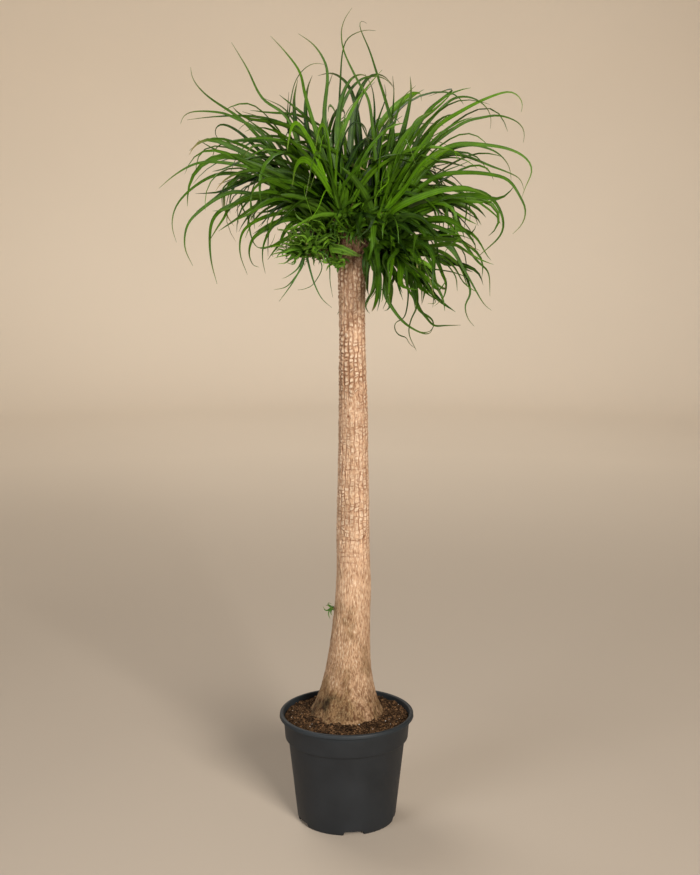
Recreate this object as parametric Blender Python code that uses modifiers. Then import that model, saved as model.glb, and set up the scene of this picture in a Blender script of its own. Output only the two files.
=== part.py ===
"""Potted ponytail palm: a nursery pot of soil, a flared trunk with stub branches, and heads of strap leaves.

Lengths are in metres and +Z is up. The origin is on the floor, on the pot's axis, and -Y is the front.
"""

import math
from collections import namedtuple

import bmesh
import bpy
import numpy as np
from mathutils import Vector
from mathutils.bvhtree import BVHTree

# Nursery pot
POT_HEIGHT = 0.250
RIM_RADIUS = 0.1515
LIP_HEIGHT = 0.009
COLLAR_TOP_RADIUS = 0.1430
COLLAR_FOOT_RADIUS = 0.1387
COLLAR_FOOT_Z = 0.192
BODY_TOP_RADIUS = 0.1320
BASE_RADIUS = 0.1120
POT_WALL = 0.0025
FLOOR_UNDERSIDE_Z = 0.0095
FOOT_RING_WIDTH = 0.011
POT_STEPS = 36

# Drainage notches round the foot, the first one a little right of the front
NOTCH_COUNT = 5
NOTCH_FIRST_ANGLE = math.radians(-81.4)
NOTCH_WIDTH = 0.046
NOTCH_TOP_WIDTH = 0.032
NOTCH_HEIGHT = 0.0075

# Soil, sunk below the rim at the wall and heaped at the trunk
SOIL_WALL_Z = 0.239
SOIL_TRUNK_Z = 0.2455
SOIL_LUMP = 0.0018
SOIL_STEPS = 36
GAP = 0.0003
HOLE_GAP = 0.0008

# Trunk
TRUNK_FOOT_Z = 0.165
TRUNK_TOP_Z = 1.322
SOIL_LINE_RADIUS = 0.0860
BURIED_FOOT_RADIUS = 0.060
STEM_RADIUS = 0.0282
STEM_TAPER = 0.0174
STEM_TAPER_END_Z = 1.115
FLARE_RADIUS = 0.0415
FLARE_FALL = 0.075
TRUNK_LEAN = 0.0150
LEAN_START_Z = 0.24
LEAN_LENGTH = 0.28
LEAN_BACK = 0.0045
LEAN_BACK_START_Z = 0.90
LEAN_BACK_LENGTH = 0.40
TRUNK_RINGS = 38
TRUNK_STEPS = 22
BARK_RIDGES = 8
BARK_RELIEF = 0.0011

# Branches and growing tips
FORK_Z = 1.268
ARM_TAPER = (0.90, 0.72)
TIP_SIDES = 8

# Crown, the space that the drawn leaves keep to
CROWN_CENTRE = (0.004, 0.0, 1.395)
CROWN_HALF_WIDTH = 0.385
CROWN_HALF_DEPTH = 0.375
CROWN_RISE = 0.285
NECK_CLEAR_HALF_WIDTH = 0.050
NECK_CLEAR_TOP_Z = 1.265

# Leaf blades
GOLDEN_ANGLE = math.radians(137.508)
BLADE_KEEL = 0.0013
BLADE_CLEARANCE = 0.0006
LEAF_STATIONS = 6
SHORT_LEAF = 0.20
SHORT_LEAF_STATIONS = 5
LONG_LEAF_STATIONS = 8
REDRAWS = 60

# Colours, as linear red, green and blue, then roughness
POT_LOOK = ((0.030, 0.032, 0.034), 0.55)
SOIL_LOOK = ((0.060, 0.034, 0.019), 0.95)
BARK_LOOK = ((0.420, 0.265, 0.150), 0.90)
LEAF_LOOK = ((0.060, 0.170, 0.025), 0.45)
YOUNG_LEAF_LOOK = ((0.110, 0.260, 0.040), 0.45)

Head = namedtuple(
    "Head", "name base axis tip_radius tip_length leaves lengths polar width sag drop seed look"
)

# Each head: where its growing tip starts, the way it points, the tip's size, the number of drawn leaves, their
# shortest and longest length, their angles off the axis in degrees, their width, how far they arch over in
# degrees, and how far below the crown's middle they may hang (0 is no limit).
HEADS = (
    Head("head_middle", (-0.006, -0.034, 1.338), (-0.22, -0.40, 0.90), 0.019, 0.040,
         34, (0.22, 0.40), (8, 100), 0.013, (45, 120), 0.15, 11, LEAF_LOOK),
    Head("head_left", (-0.058, 0.000, 1.330), (-0.70, 0.00, 0.70), 0.019, 0.042,
         37, (0.24, 0.42), (8, 105), 0.013, (45, 120), 0.17, 12, LEAF_LOOK),
    Head("head_right", (0.064, -0.016, 1.318), (0.55, -0.12, 0.80), 0.020, 0.044,
         40, (0.24, 0.46), (8, 110), 0.014, (45, 125), 0.19, 13, LEAF_LOOK),
    Head("head_back", (0.020, 0.052, 1.335), (0.10, 0.50, 0.85), 0.020, 0.042,
         34, (0.22, 0.42), (8, 108), 0.013, (45, 120), 0.18, 14, LEAF_LOOK),
    Head("head_low_left", (-0.079, -0.020, 1.284), (-0.80, -0.35, 0.20), 0.013, 0.026,
         28, (0.07, 0.15), (15, 120), 0.008, (60, 150), 0.19, 15, YOUNG_LEAF_LOOK),
    Head("head_low_right", (0.088, -0.040, 1.288), (0.72, -0.55, 0.10), 0.015, 0.030,
         30, (0.14, 0.28), (12, 110), 0.011, (50, 110), 0.25, 16, LEAF_LOOK),
    Head("head_low_back", (-0.012, 0.082, 1.290), (-0.15, 0.90, 0.20), 0.016, 0.032,
         32, (0.16, 0.30), (12, 112), 0.012, (50, 115), 0.22, 17, LEAF_LOOK),
)

LongLeaf = namedtuple("LongLeaf", "head depth width route")

# Long leaves that make the outline: the depth of the tip, the width, and (x, z) points from the base outwards.
LONG_LEAVES = (
    LongLeaf("head_left", -0.05, 0.012, ((-0.115, 1.545), (-0.175, 1.600), (-0.205, 1.660), (-0.235, 1.710))),
    LongLeaf("head_left", 0.04, 0.012, ((-0.110, 1.435), (-0.190, 1.530), (-0.295, 1.608), (-0.325, 1.643),
                                        (-0.332, 1.668))),
    LongLeaf("head_left", -0.06, 0.011, ((-0.165, 1.514), (-0.238, 1.563), (-0.320, 1.573), (-0.342, 1.548))),
    LongLeaf("head_left", 0.10, 0.010, ((-0.118, 1.530), (-0.227, 1.570), (-0.346, 1.563))),
    LongLeaf("head_left", -0.09, 0.013, ((-0.108, 1.400), (-0.200, 1.460), (-0.310, 1.469), (-0.385, 1.418))),
    LongLeaf("head_left", -0.02, 0.011, ((-0.108, 1.392), (-0.227, 1.446), (-0.330, 1.413), (-0.370, 1.339),
                                         (-0.361, 1.304))),
    LongLeaf("head_left", -0.13, 0.012, ((-0.120, 1.375), (-0.222, 1.408), (-0.299, 1.374), (-0.333, 1.297),
                                         (-0.315, 1.260))),
    LongLeaf("head_left", -0.16, 0.012, ((-0.110, 1.370), (-0.200, 1.388), (-0.276, 1.350), (-0.276, 1.267),
                                         (-0.263, 1.225))),
    LongLeaf("head_left", 0.14, 0.011, ((-0.099, 1.411), (-0.227, 1.533), (-0.284, 1.545), (-0.248, 1.513))),
    LongLeaf("head_left", 0.07, 0.011, ((-0.099, 1.421), (-0.206, 1.516), (-0.284, 1.498), (-0.291, 1.473))),
    LongLeaf("head_left", -0.19, 0.010, ((-0.110, 1.355), (-0.180, 1.353), (-0.216, 1.295), (-0.199, 1.246))),
    LongLeaf("head_middle", -0.10, 0.013, ((-0.045, 1.460), (-0.085, 1.605), (-0.125, 1.690), (-0.152, 1.718))),
    LongLeaf("head_middle", -0.03, 0.014, ((-0.022, 1.440), (-0.046, 1.553), (-0.042, 1.665), (-0.098, 1.730))),
    LongLeaf("head_middle", -0.08, 0.016, ((-0.020, 1.410), (-0.052, 1.473), (-0.088, 1.530), (-0.110, 1.525))),
    LongLeaf("head_middle", -0.12, 0.016, ((-0.012, 1.420), (-0.026, 1.490), (-0.040, 1.535), (-0.030, 1.560))),
    LongLeaf("head_back", 0.03, 0.010, ((-0.010, 1.500), (-0.009, 1.690), (0.020, 1.739), (0.061, 1.743))),
    LongLeaf("head_right", -0.04, 0.011, ((0.062, 1.480), (0.040, 1.600), (-0.006, 1.696), (-0.010, 1.740),
                                          (0.011, 1.775))),
    LongLeaf("head_right", 0.02, 0.011, ((0.092, 1.480), (0.088, 1.580), (0.049, 1.700), (0.026, 1.757),
                                         (0.042, 1.752))),
    LongLeaf("head_right", -0.09, 0.016, ((0.095, 1.409), (0.125, 1.470), (0.165, 1.545), (0.185, 1.590))),
    LongLeaf("head_right", -0.06, 0.014, ((0.110, 1.420), (0.203, 1.555), (0.291, 1.600), (0.350, 1.609),
                                          (0.361, 1.572))),
    LongLeaf("head_right", 0.06, 0.012, ((0.115, 1.410), (0.244, 1.551), (0.325, 1.569), (0.382, 1.535),
                                         (0.381, 1.514))),
    LongLeaf("head_right", 0.11, 0.012, ((0.105, 1.430), (0.163, 1.540), (0.244, 1.609), (0.307, 1.585),
                                         (0.314, 1.545))),
    LongLeaf("head_right", 0.15, 0.012, ((0.098, 1.440), (0.163, 1.565), (0.226, 1.622), (0.182, 1.612))),
    LongLeaf("head_right", -0.03, 0.013, ((0.110, 1.395), (0.200, 1.500), (0.300, 1.506), (0.390, 1.455),
                                          (0.370, 1.399))),
    LongLeaf("head_right", 0.05, 0.012, ((0.118, 1.385), (0.225, 1.487), (0.340, 1.452), (0.377, 1.413))),
    LongLeaf("head_right", -0.12, 0.013, ((0.120, 1.375), (0.252, 1.448), (0.340, 1.430), (0.370, 1.372),
                                          (0.342, 1.325))),
    LongLeaf("head_right", -0.15, 0.012, ((0.120, 1.370), (0.199, 1.411), (0.300, 1.392), (0.322, 1.340),
                                          (0.261, 1.273))),
    LongLeaf("head_low_right", -0.10, 0.012, ((0.140, 1.320), (0.199, 1.318), (0.255, 1.215), (0.250, 1.165),
                                              (0.267, 1.133))),
    LongLeaf("head_low_right", -0.14, 0.011, ((0.140, 1.310), (0.220, 1.300), (0.290, 1.240), (0.295, 1.199))),
    LongLeaf("head_low_right", -0.12, 0.012, ((0.118, 1.300), (0.086, 1.246), (0.084, 1.195), (0.122, 1.139),
                                              (0.172, 1.118), (0.180, 1.133))),
    LongLeaf("head_low_right", -0.15, 0.013, ((0.132, 1.290), (0.150, 1.200), (0.134, 1.145), (0.144, 1.088))),
    LongLeaf("head_low_right", -0.17, 0.010, ((0.130, 1.280), (0.155, 1.180), (0.182, 1.137), (0.233, 1.142))),
    LongLeaf("head_low_left", -0.07, 0.008, ((-0.085, 1.250), (-0.062, 1.199), (-0.036, 1.160))),
    LongLeaf("head_low_left", -0.09, 0.008, ((-0.110, 1.250), (-0.144, 1.180))),
    LongLeaf("head_low_left", -0.05, 0.008, ((-0.115, 1.255), (-0.157, 1.202))),
    LongLeaf("head_back", 0.36, 0.012, ((0.030, 1.450), (0.050, 1.540), (0.070, 1.560), (0.085, 1.500))),
    LongLeaf("head_back", 0.37, 0.012, ((0.000, 1.420), (-0.040, 1.500), (-0.070, 1.500), (-0.090, 1.420))),
    LongLeaf("head_middle", -0.37, 0.012, ((-0.020, 1.400), (-0.045, 1.470), (-0.060, 1.480), (-0.075, 1.400))),
)


def material(name, look):
    """A plain Principled BSDF of one colour and roughness."""
    colour, roughness = look
    made = bpy.data.materials.new(name)
    made.use_nodes = True
    shader = made.node_tree.nodes["Principled BSDF"]
    shader.inputs["Base Color"].default_value = (*colour, 1.0)
    shader.inputs["Roughness"].default_value = roughness
    return made


def collection(name):
    """A new collection in the scene."""
    made = bpy.data.collections.new(name)
    bpy.context.scene.collection.children.link(made)
    return made


def mesh_object(name, points, faces, home):
    """An object of the given points and faces, in a collection."""
    mesh = bpy.data.meshes.new(name)
    mesh.from_pydata([tuple(p) for p in points], [], faces)
    made = bpy.data.objects.new(name, mesh)
    home.objects.link(made)
    return made


def turned(name, profile, steps, home):
    """A turned solid: its profile runs from the axis over the top and down the outside, and back to the axis."""
    points = [(radius, 0, z) for radius, z in profile]
    edges = [(i, i + 1) for i in range(len(points) - 1)]
    mesh = bpy.data.meshes.new(name)
    mesh.from_pydata(points, edges, [])
    made = bpy.data.objects.new(name, mesh)
    home.objects.link(made)
    screw = made.modifiers.new("turn", "SCREW")
    screw.steps = screw.render_steps = steps
    screw.use_merge_vertices = True
    screw.merge_threshold = 0.0001
    return made


def made_mesh(obj):
    """Replaces an object's mesh with the mesh that its modifiers give, and removes the modifiers."""
    bpy.context.view_layer.update()
    graph = bpy.context.evaluated_depsgraph_get()
    mesh = bpy.data.meshes.new_from_object(obj.evaluated_get(graph))
    obj.modifiers.clear()
    obj.data = mesh
    return obj


def joined(obj, others, solver):
    """Joins everything in a collection to an object by one Boolean union, then removes that collection."""
    union = obj.modifiers.new("join", "BOOLEAN")
    union.operation = "UNION"
    union.operand_type = "COLLECTION"
    union.collection = others
    union.solver = solver
    made_mesh(obj)
    for other in list(others.objects):
        bpy.data.objects.remove(other)
    bpy.data.collections.remove(others)
    return obj


def keep_outer_shell(obj):
    """Removes the small closed pockets that blades shut in where they cross, which leaves one outer surface."""
    shape = bmesh.new()
    shape.from_mesh(obj.data)
    left = set(shape.faces)
    shells = []
    while left:
        shell = {left.pop()}
        edge_of_shell = list(shell)
        while edge_of_shell:
            face = edge_of_shell.pop()
            near = {other for edge in face.edges for other in edge.link_faces} & left
            left -= near
            shell |= near
            edge_of_shell.extend(near)
        shells.append(shell)
    outer = max(shells, key=len)
    bmesh.ops.delete(shape, geom=[face for shell in shells if shell is not outer for face in shell], context="FACES")
    shape.to_mesh(obj.data)
    shape.free()


def smooth(obj, angle):
    """Shades an object smooth, with sharp edges past an angle in degrees."""
    obj.data.shade_smooth()
    obj.data.set_sharp_from_angle(angle=math.radians(angle))


def inner_wall_radius(z):
    """The radius of the pot's inner wall below the collar."""
    share = z / COLLAR_FOOT_Z
    return BASE_RADIUS + (BODY_TOP_RADIUS - BASE_RADIUS) * share - POT_WALL


def make_pot(home):
    """The pot: a turned shell with a turned-down lip, a collar and a foot ring, notched for drainage."""
    floor_top = FLOOR_UNDERSIDE_Z + POT_WALL
    collar_inner_foot_z = COLLAR_FOOT_Z + POT_WALL
    lip_foot_z = POT_HEIGHT - LIP_HEIGHT
    profile = [
        (0, floor_top),
        (inner_wall_radius(floor_top), floor_top),
        (inner_wall_radius(collar_inner_foot_z), collar_inner_foot_z),
        (COLLAR_FOOT_RADIUS - POT_WALL, collar_inner_foot_z),
        (COLLAR_TOP_RADIUS - POT_WALL, POT_HEIGHT - POT_WALL),
        (COLLAR_TOP_RADIUS - 0.001, POT_HEIGHT - 0.0006),
        (COLLAR_TOP_RADIUS + 0.002, POT_HEIGHT),
        (RIM_RADIUS - 0.003, POT_HEIGHT - 0.0004),
        (RIM_RADIUS - 0.0008, POT_HEIGHT - 0.0020),
        (RIM_RADIUS, POT_HEIGHT - 0.0046),
        (RIM_RADIUS - 0.0006, lip_foot_z),
        (RIM_RADIUS - POT_WALL, lip_foot_z),
        (COLLAR_TOP_RADIUS, POT_HEIGHT - POT_WALL - 0.001),
        (COLLAR_FOOT_RADIUS, COLLAR_FOOT_Z + 0.001),
        (COLLAR_FOOT_RADIUS - 0.001, COLLAR_FOOT_Z),
        (BODY_TOP_RADIUS, COLLAR_FOOT_Z),
        (BASE_RADIUS, 0.005),
        (BASE_RADIUS - 0.002, 0),
        (BASE_RADIUS - FOOT_RING_WIDTH, 0),
        (BASE_RADIUS - FOOT_RING_WIDTH - 0.001, FLOOR_UNDERSIDE_Z),
        (0, FLOOR_UNDERSIDE_Z),
    ]
    pot = made_mesh(turned("pot", profile, POT_STEPS, home))
    cutters = collection("notch_cutters")
    for index in range(NOTCH_COUNT):
        angle = NOTCH_FIRST_ANGLE + index * math.tau / NOTCH_COUNT
        radius = BASE_RADIUS - FOOT_RING_WIDTH / 2
        bpy.ops.mesh.primitive_cube_add(size=1)
        cutter = bpy.context.object
        cutter.name = f"notch_cutter_{index + 1}"
        for vertex in cutter.data.vertices:
            width = NOTCH_TOP_WIDTH if vertex.co.z > 0 else 2 * NOTCH_WIDTH - NOTCH_TOP_WIDTH
            vertex.co = vertex.co * Vector((3 * FOOT_RING_WIDTH, width, 2 * NOTCH_HEIGHT))
        cutter.location = (radius * math.cos(angle), radius * math.sin(angle), 0)
        cutter.rotation_euler = (0, 0, angle)
        bpy.context.collection.objects.unlink(cutter)
        cutters.objects.link(cutter)
    cut = pot.modifiers.new("notches", "BOOLEAN")
    cut.operation = "DIFFERENCE"
    cut.operand_type = "COLLECTION"
    cut.collection = cutters
    cut.solver = "EXACT"
    made_mesh(pot)
    for cutter in list(cutters.objects):
        bpy.data.objects.remove(cutter)
    bpy.data.collections.remove(cutters)
    smooth(pot, 30)
    pot.data.materials.append(material("pot_plastic", POT_LOOK))
    return pot


def soil_lumps(x, y):
    """The height of the soil's clods at (x, y): three crossing waves of unlike length."""
    return SOIL_LUMP * (
        np.sin(310 * x + 120 * y)
        + np.sin(190 * y - 260 * x + 1.3)
        + np.sin(420 * y + 90 * x + 2.1)
    ) / 2


def make_soil(home):
    """The soil: it fills the pot up to below the rim, with a plain tapered hole for the trunk's foot."""
    floor_z = FLOOR_UNDERSIDE_Z + POT_WALL + GAP
    hole_foot_z = TRUNK_FOOT_Z - GAP
    collar_z = COLLAR_FOOT_Z + POT_WALL + GAP
    wall = COLLAR_FOOT_RADIUS - POT_WALL - GAP
    hole_mouth = SOIL_LINE_RADIUS + HOLE_GAP
    rings = 5
    top = [
        (
            hole_mouth + (wall - hole_mouth) * i / rings,
            SOIL_TRUNK_Z + (SOIL_WALL_Z - SOIL_TRUNK_Z) * i / rings,
        )
        for i in range(rings + 1)
    ]
    profile = [
        (0, hole_foot_z),
        (BURIED_FOOT_RADIUS + HOLE_GAP, hole_foot_z),
        *top,
        (wall, collar_z),
        (inner_wall_radius(collar_z) - GAP, collar_z),
        (inner_wall_radius(floor_z) - GAP, floor_z),
        (0, floor_z),
    ]
    soil = made_mesh(turned("soil", profile, SOIL_STEPS, home))
    for vertex in soil.data.vertices:
        x, y, z = vertex.co
        inside = hole_mouth + 0.001 < math.hypot(x, y) < wall - 0.001
        if z > SOIL_WALL_Z and inside:
            vertex.co.z += soil_lumps(x, y)
    smooth(soil, 60)
    soil.data.materials.append(material("soil", SOIL_LOOK))
    return soil


def trunk_radius(z):
    """The trunk's radius at a height: a slow taper, plus a flare that falls off above the soil."""
    stem = STEM_RADIUS + STEM_TAPER * np.clip(STEM_TAPER_END_Z - z, 0, None)
    return stem + FLARE_RADIUS * np.exp(-(z - SOIL_TRUNK_Z) / FLARE_FALL)


def trunk_offset(z):
    """How far the trunk's middle stands to the right of the pot's axis: it leans over a short stretch near its
    foot, and a little of that back again near its top."""
    share = np.clip((z - LEAN_START_Z) / LEAN_LENGTH, 0, 1)
    back = np.clip((z - LEAN_BACK_START_Z) / LEAN_BACK_LENGTH, 0, 1)
    return TRUNK_LEAN * share**2 * (3 - 2 * share) - LEAN_BACK * back


def bark_relief(angle, z):
    """The height of the bark's ridges: fluted down the trunk, and broken across into plates by rings."""
    ridges = np.cos(BARK_RIDGES * angle + 0.6 * np.sin(7 * z))
    plates = np.cos(80 * z + 2 * np.cos(3 * angle))
    shown = np.clip((z - SOIL_TRUNK_Z - 0.005) / 0.05, 0, 1) * np.clip((TRUNK_TOP_Z - 0.01 - z) / 0.02, 0, 1)
    return BARK_RELIEF * (0.65 * ridges + 0.35 * plates) * shown


def make_trunk(home):
    """The trunk: turned, leaned over, ridged by a formula, and joined to the stub branches that carry heads."""
    stem_top = TRUNK_TOP_Z - 0.012
    low = np.linspace(SOIL_TRUNK_Z, 0.45, TRUNK_RINGS // 3, endpoint=False)
    high = np.linspace(0.45, stem_top, TRUNK_RINGS - len(low))
    heights = np.concatenate([low, high])
    side = [(float(trunk_radius(z)), float(z)) for z in heights[::-1]]
    profile = [
        (0, TRUNK_TOP_Z),
        (STEM_RADIUS * 0.6, TRUNK_TOP_Z - 0.002),
        (STEM_RADIUS * 0.9, TRUNK_TOP_Z - 0.006),
        *side[:-1],
        (SOIL_LINE_RADIUS, SOIL_TRUNK_Z),
        (BURIED_FOOT_RADIUS, TRUNK_FOOT_Z),
        (0, TRUNK_FOOT_Z),
    ]
    trunk = made_mesh(turned("trunk", profile, TRUNK_STEPS, home))
    for vertex in trunk.data.vertices:
        x, y, z = vertex.co
        radius = math.hypot(x, y)
        if radius > 0.001:
            grown = 1 + float(bark_relief(math.atan2(y, x), z)) / radius
            x, y = x * grown, y * grown
        vertex.co = (x + float(trunk_offset(z)), y, z)
    branches = collection("branches")
    fork = Vector((float(trunk_offset(FORK_Z)), 0, FORK_Z))
    for head in HEADS:
        tip = Vector(head.base)
        along = Vector(head.axis).normalized()
        knee = tip - along * 0.012
        foot, neck = (share * head.tip_radius for share in ARM_TAPER)
        branch_piece(f"{head.name}_arm", fork, knee, (foot, neck), branches)
        branch_piece(f"{head.name}_end", knee - along * 0.006, tip, (neck, head.tip_radius * 0.95), branches)
    for shoot in SHOOTS:
        start = Vector(shoot.base) - Vector(shoot.axis).normalized() * 0.015
        radii = (shoot.tip_radius * 1.3, shoot.tip_radius * 0.95)
        branch_piece(f"{shoot.name}_stub", start, Vector(shoot.base), radii, branches)
    joined(trunk, branches, "MANIFOLD")
    smooth(trunk, 50)
    trunk.data.materials.append(material("bark", BARK_LOOK))
    return trunk


def branch_piece(name, start, end, radii, home):
    """A tapered round bar between two points."""
    span = end - start
    mesh = bpy.data.meshes.new(name)
    bar = bmesh.new()
    bmesh.ops.create_cone(
        bar, cap_ends=True, segments=TIP_SIDES, radius1=radii[0], radius2=radii[1], depth=span.length
    )
    bar.to_mesh(mesh)
    bar.free()
    piece = bpy.data.objects.new(name, mesh)
    piece.rotation_mode = "QUATERNION"
    piece.rotation_quaternion = span.to_track_quat("Z", "Y")
    piece.location = (start + end) / 2
    home.objects.link(piece)
    return piece


def smooth_route(points, stations):
    """Evenly spaced points on a Catmull-Rom curve through the given points."""
    points = np.array(points, float)
    ends = np.vstack([2 * points[0] - points[1], points, 2 * points[-1] - points[-2]])
    t = np.linspace(0, 1, 9)[:-1, None]
    spans = [
        0.5 * (2 * b + (c - a) * t + (2 * a - 5 * b + 4 * c - d) * t**2 + (3 * b - a - 3 * c + d) * t**3)
        for a, b, c, d in zip(ends, ends[1:], ends[2:], ends[3:])
    ]
    fine = np.vstack([*spans, points[-1:]])
    run = np.concatenate([[0], np.cumsum(np.linalg.norm(np.diff(fine, axis=0), axis=1))])
    even = np.linspace(0, run[-1], stations)
    return np.column_stack([np.interp(even, run, fine[:, axis]) for axis in range(3)])


def arched_route(root, rise, heading, length, sag, sweep, stations):
    """Points along a leaf that sets off at an angle above the level and arches over, turning aside as it goes."""
    share = np.linspace(0, 1, stations)
    rise_at = np.maximum(rise - sag * share**1.4, -math.radians(100))
    heading_at = heading + sweep * share**1.5
    way = np.column_stack(
        [np.cos(rise_at) * np.cos(heading_at), np.cos(rise_at) * np.sin(heading_at), np.sin(rise_at)]
    )
    steps = (way[1:] + way[:-1]) / 2 * length / (stations - 1)
    return root + np.vstack([np.zeros(3), np.cumsum(steps, axis=0)])


def blade(route, width, facing, roll, grown=0.0):
    """Points and faces of one keeled blade: flat above, a keel below, narrow at its sunk root, widest beyond it,
    and drawn out to a tip. Grown is the room to leave round it. The edges are sharp, so they take more of it."""
    stations = len(route)
    along = np.gradient(route, axis=0)
    along /= np.linalg.norm(along, axis=1)[:, None]
    side = np.cross(along[0], facing)
    if np.linalg.norm(side) < 0.1:
        side = np.cross(along[0], (1.0, 0.3, 0.0))
    rings = []
    for k in range(stations - 1):
        side = side - side.dot(along[k]) * along[k]
        side /= np.linalg.norm(side)
        up = np.cross(side, along[k])
        share = k / (stations - 1)
        across = side * math.cos(roll * share) + up * math.sin(roll * share)
        above = up * math.cos(roll * share) - side * math.sin(roll * share)
        half = width / 2 * (0.9 + 0.7 * share) * (1 - share) ** 0.9 * min(1, 0.35 + 4 * share) + 3 * grown
        keel = BLADE_KEEL * (1 - 0.3 * share) + grown
        rings += [
            route[k] + across * half + above * grown / 2,
            route[k] - across * half + above * grown / 2,
            route[k] - above * keel,
        ]
    points = np.vstack([*rings, route[-1] + along[-1] * grown])
    faces = [(0, 1, 2)]
    for low in range(0, 3 * (stations - 2), 3):
        high = low + 3
        for a, b in ((0, 1), (1, 2), (2, 0)):
            faces += [(low + a, high + a, high + b), (low + a, high + b, low + b)]
    last, tip = 3 * (stations - 2), len(points) - 1
    faces += [(last + a, tip, last + b) for a, b in ((0, 1), (1, 2), (2, 0))]
    return points, faces


Placed = namedtuple("Placed", "owner points faces tree low high")


def placed_shape(owner, points, faces):
    """A shape with its owner's name, its box and a search tree of its faces, for testing what crosses what."""
    points = np.array(points)
    tree = BVHTree.FromPolygons([tuple(p) for p in points], faces)
    return Placed(owner, points, faces, tree, points.min(axis=0), points.max(axis=0))


def placed_object(obj):
    """The same of an object whose place is in its mesh."""
    mesh = obj.data
    return placed_shape(obj.name, [v.co for v in mesh.vertices], [tuple(p.vertices) for p in mesh.polygons])


def tip_touches(shape, other):
    """True if the last point of a shape, a blade's tip, lies on another or just inside it."""
    return other.tree.find_nearest(Vector(shape.points[-1]), BLADE_CLEARANCE)[0] is not None


def crosses(probe, others):
    """True if a shape's faces cross another's, or the tip of either touches the other."""
    near = [other for other in others if (probe.low <= other.high).all() and (other.low <= probe.high).all()]
    return any(
        probe.tree.overlap(other.tree) or tip_touches(probe, other) or tip_touches(other, probe) for other in near
    )


def in_crown(route, drop):
    """True if every point lies in the crown: a rounded dome above its middle height, a flatter bowl below it
    that reaches down by a head's drop, and nothing in the column in front of the trunk's neck."""
    x, y, z = (route - np.array(CROWN_CENTRE)).T
    height = np.where(z > 0, CROWN_RISE, drop)
    inside = (x / CROWN_HALF_WIDTH) ** 2 + (y / CROWN_HALF_DEPTH) ** 2 + (z / height) ** 2 <= 1
    column = (np.abs(x) < NECK_CLEAR_HALF_WIDTH) & (y < 0) & (route[:, 2] < NECK_CLEAR_TOP_Z)
    return bool((inside & ~column).all())


def drawn_leaf(head, index, rng, attempt):
    """Draws one leaf of a head. Its place goes round the axis by the golden angle, and out from it evenly;
    each new attempt may stray further from that place."""
    axis = np.array(Vector(head.axis).normalized())
    cross = np.cross(axis, (0.0, 1.0, 0.1))
    cross /= np.linalg.norm(cross)
    other = np.cross(axis, cross)
    share = (index + 0.5) / head.leaves
    stray = 0.12 + 0.015 * attempt
    turn = index * GOLDEN_ANGLE + rng.uniform(-3, 3) * stray
    inner, outer = (math.radians(angle) for angle in head.polar)
    off_axis = inner + (outer - inner) * share + rng.uniform(-1, 1) * stray
    radial = cross * math.cos(turn) + other * math.sin(turn)
    way = axis * math.cos(off_axis) + radial * math.sin(off_axis)
    root = np.array(head.base) + axis * head.tip_length * (0.80 - 0.62 * share) + radial * head.tip_radius * 0.38
    route = arched_route(
        root,
        math.asin(np.clip(way[2], -1, 1)),
        math.atan2(way[1], way[0]),
        rng.uniform(*head.lengths),
        math.radians(rng.uniform(*head.sag)) * (0.7 + 0.4 * share),
        rng.uniform(-0.6, 0.6),
        LEAF_STATIONS if head.lengths[1] > SHORT_LEAF else SHORT_LEAF_STATIONS,
    )
    if head.drop and not in_crown(route[1:], head.drop):
        return None
    return route, head.width * rng.uniform(0.8, 1.1), rng.uniform(-0.8, 0.8)


def long_leaf(head, leaf, nudge):
    """A long leaf, whose depth runs evenly from the growing tip to its own tip, moved by a nudge."""
    root = np.array(head.base) + np.array(Vector(head.axis).normalized()) * head.tip_length * 0.6
    points = [root]
    for index, (x, z) in enumerate(leaf.route):
        share = (index + 1) / len(leaf.route)
        points.append((x, root[1] + (leaf.depth + nudge - root[1]) * share, z))
    return smooth_route(points, LONG_LEAF_STATIONS), leaf.width, 0.6


def make_core(head, home):
    """A head's growing tip, a tapered plug standing just clear of the end of its branch."""
    axis = Vector(head.axis).normalized()
    start = Vector(head.base) + axis * GAP
    radii = (head.tip_radius * 0.95, head.tip_radius * 0.55)
    core = branch_piece(head.name, start, start + axis * head.tip_length, radii, home)
    bpy.context.view_layer.update()
    core.data.transform(core.matrix_world)
    core.matrix_world.identity()
    return core


def settled(head, draw, attempts, placed):
    """Places a leaf at the first attempt that crosses no other piece. In the later half of the attempts it may
    cross leaves of its own head, which are joined to it. Returns whether it found a place."""
    others = [shape for shape in placed if shape.owner != head.name]
    own = [shape for shape in placed if shape.owner == head.name][1:]
    for attempt in range(attempts):
        drawn = draw(attempt)
        if drawn is None:
            continue
        route, width, roll = drawn
        grown = placed_shape(head.name, *blade(route, width, head.axis, roll, BLADE_CLEARANCE))
        if crosses(grown, others):
            continue
        outer = placed_shape(head.name, *blade(route[1:], width, head.axis, roll, BLADE_CLEARANCE))
        if attempt < attempts / 2 and crosses(outer, own):
            continue
        placed.append(placed_shape(head.name, *blade(route, width, head.axis, roll)))
        return True
    return False


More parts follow.
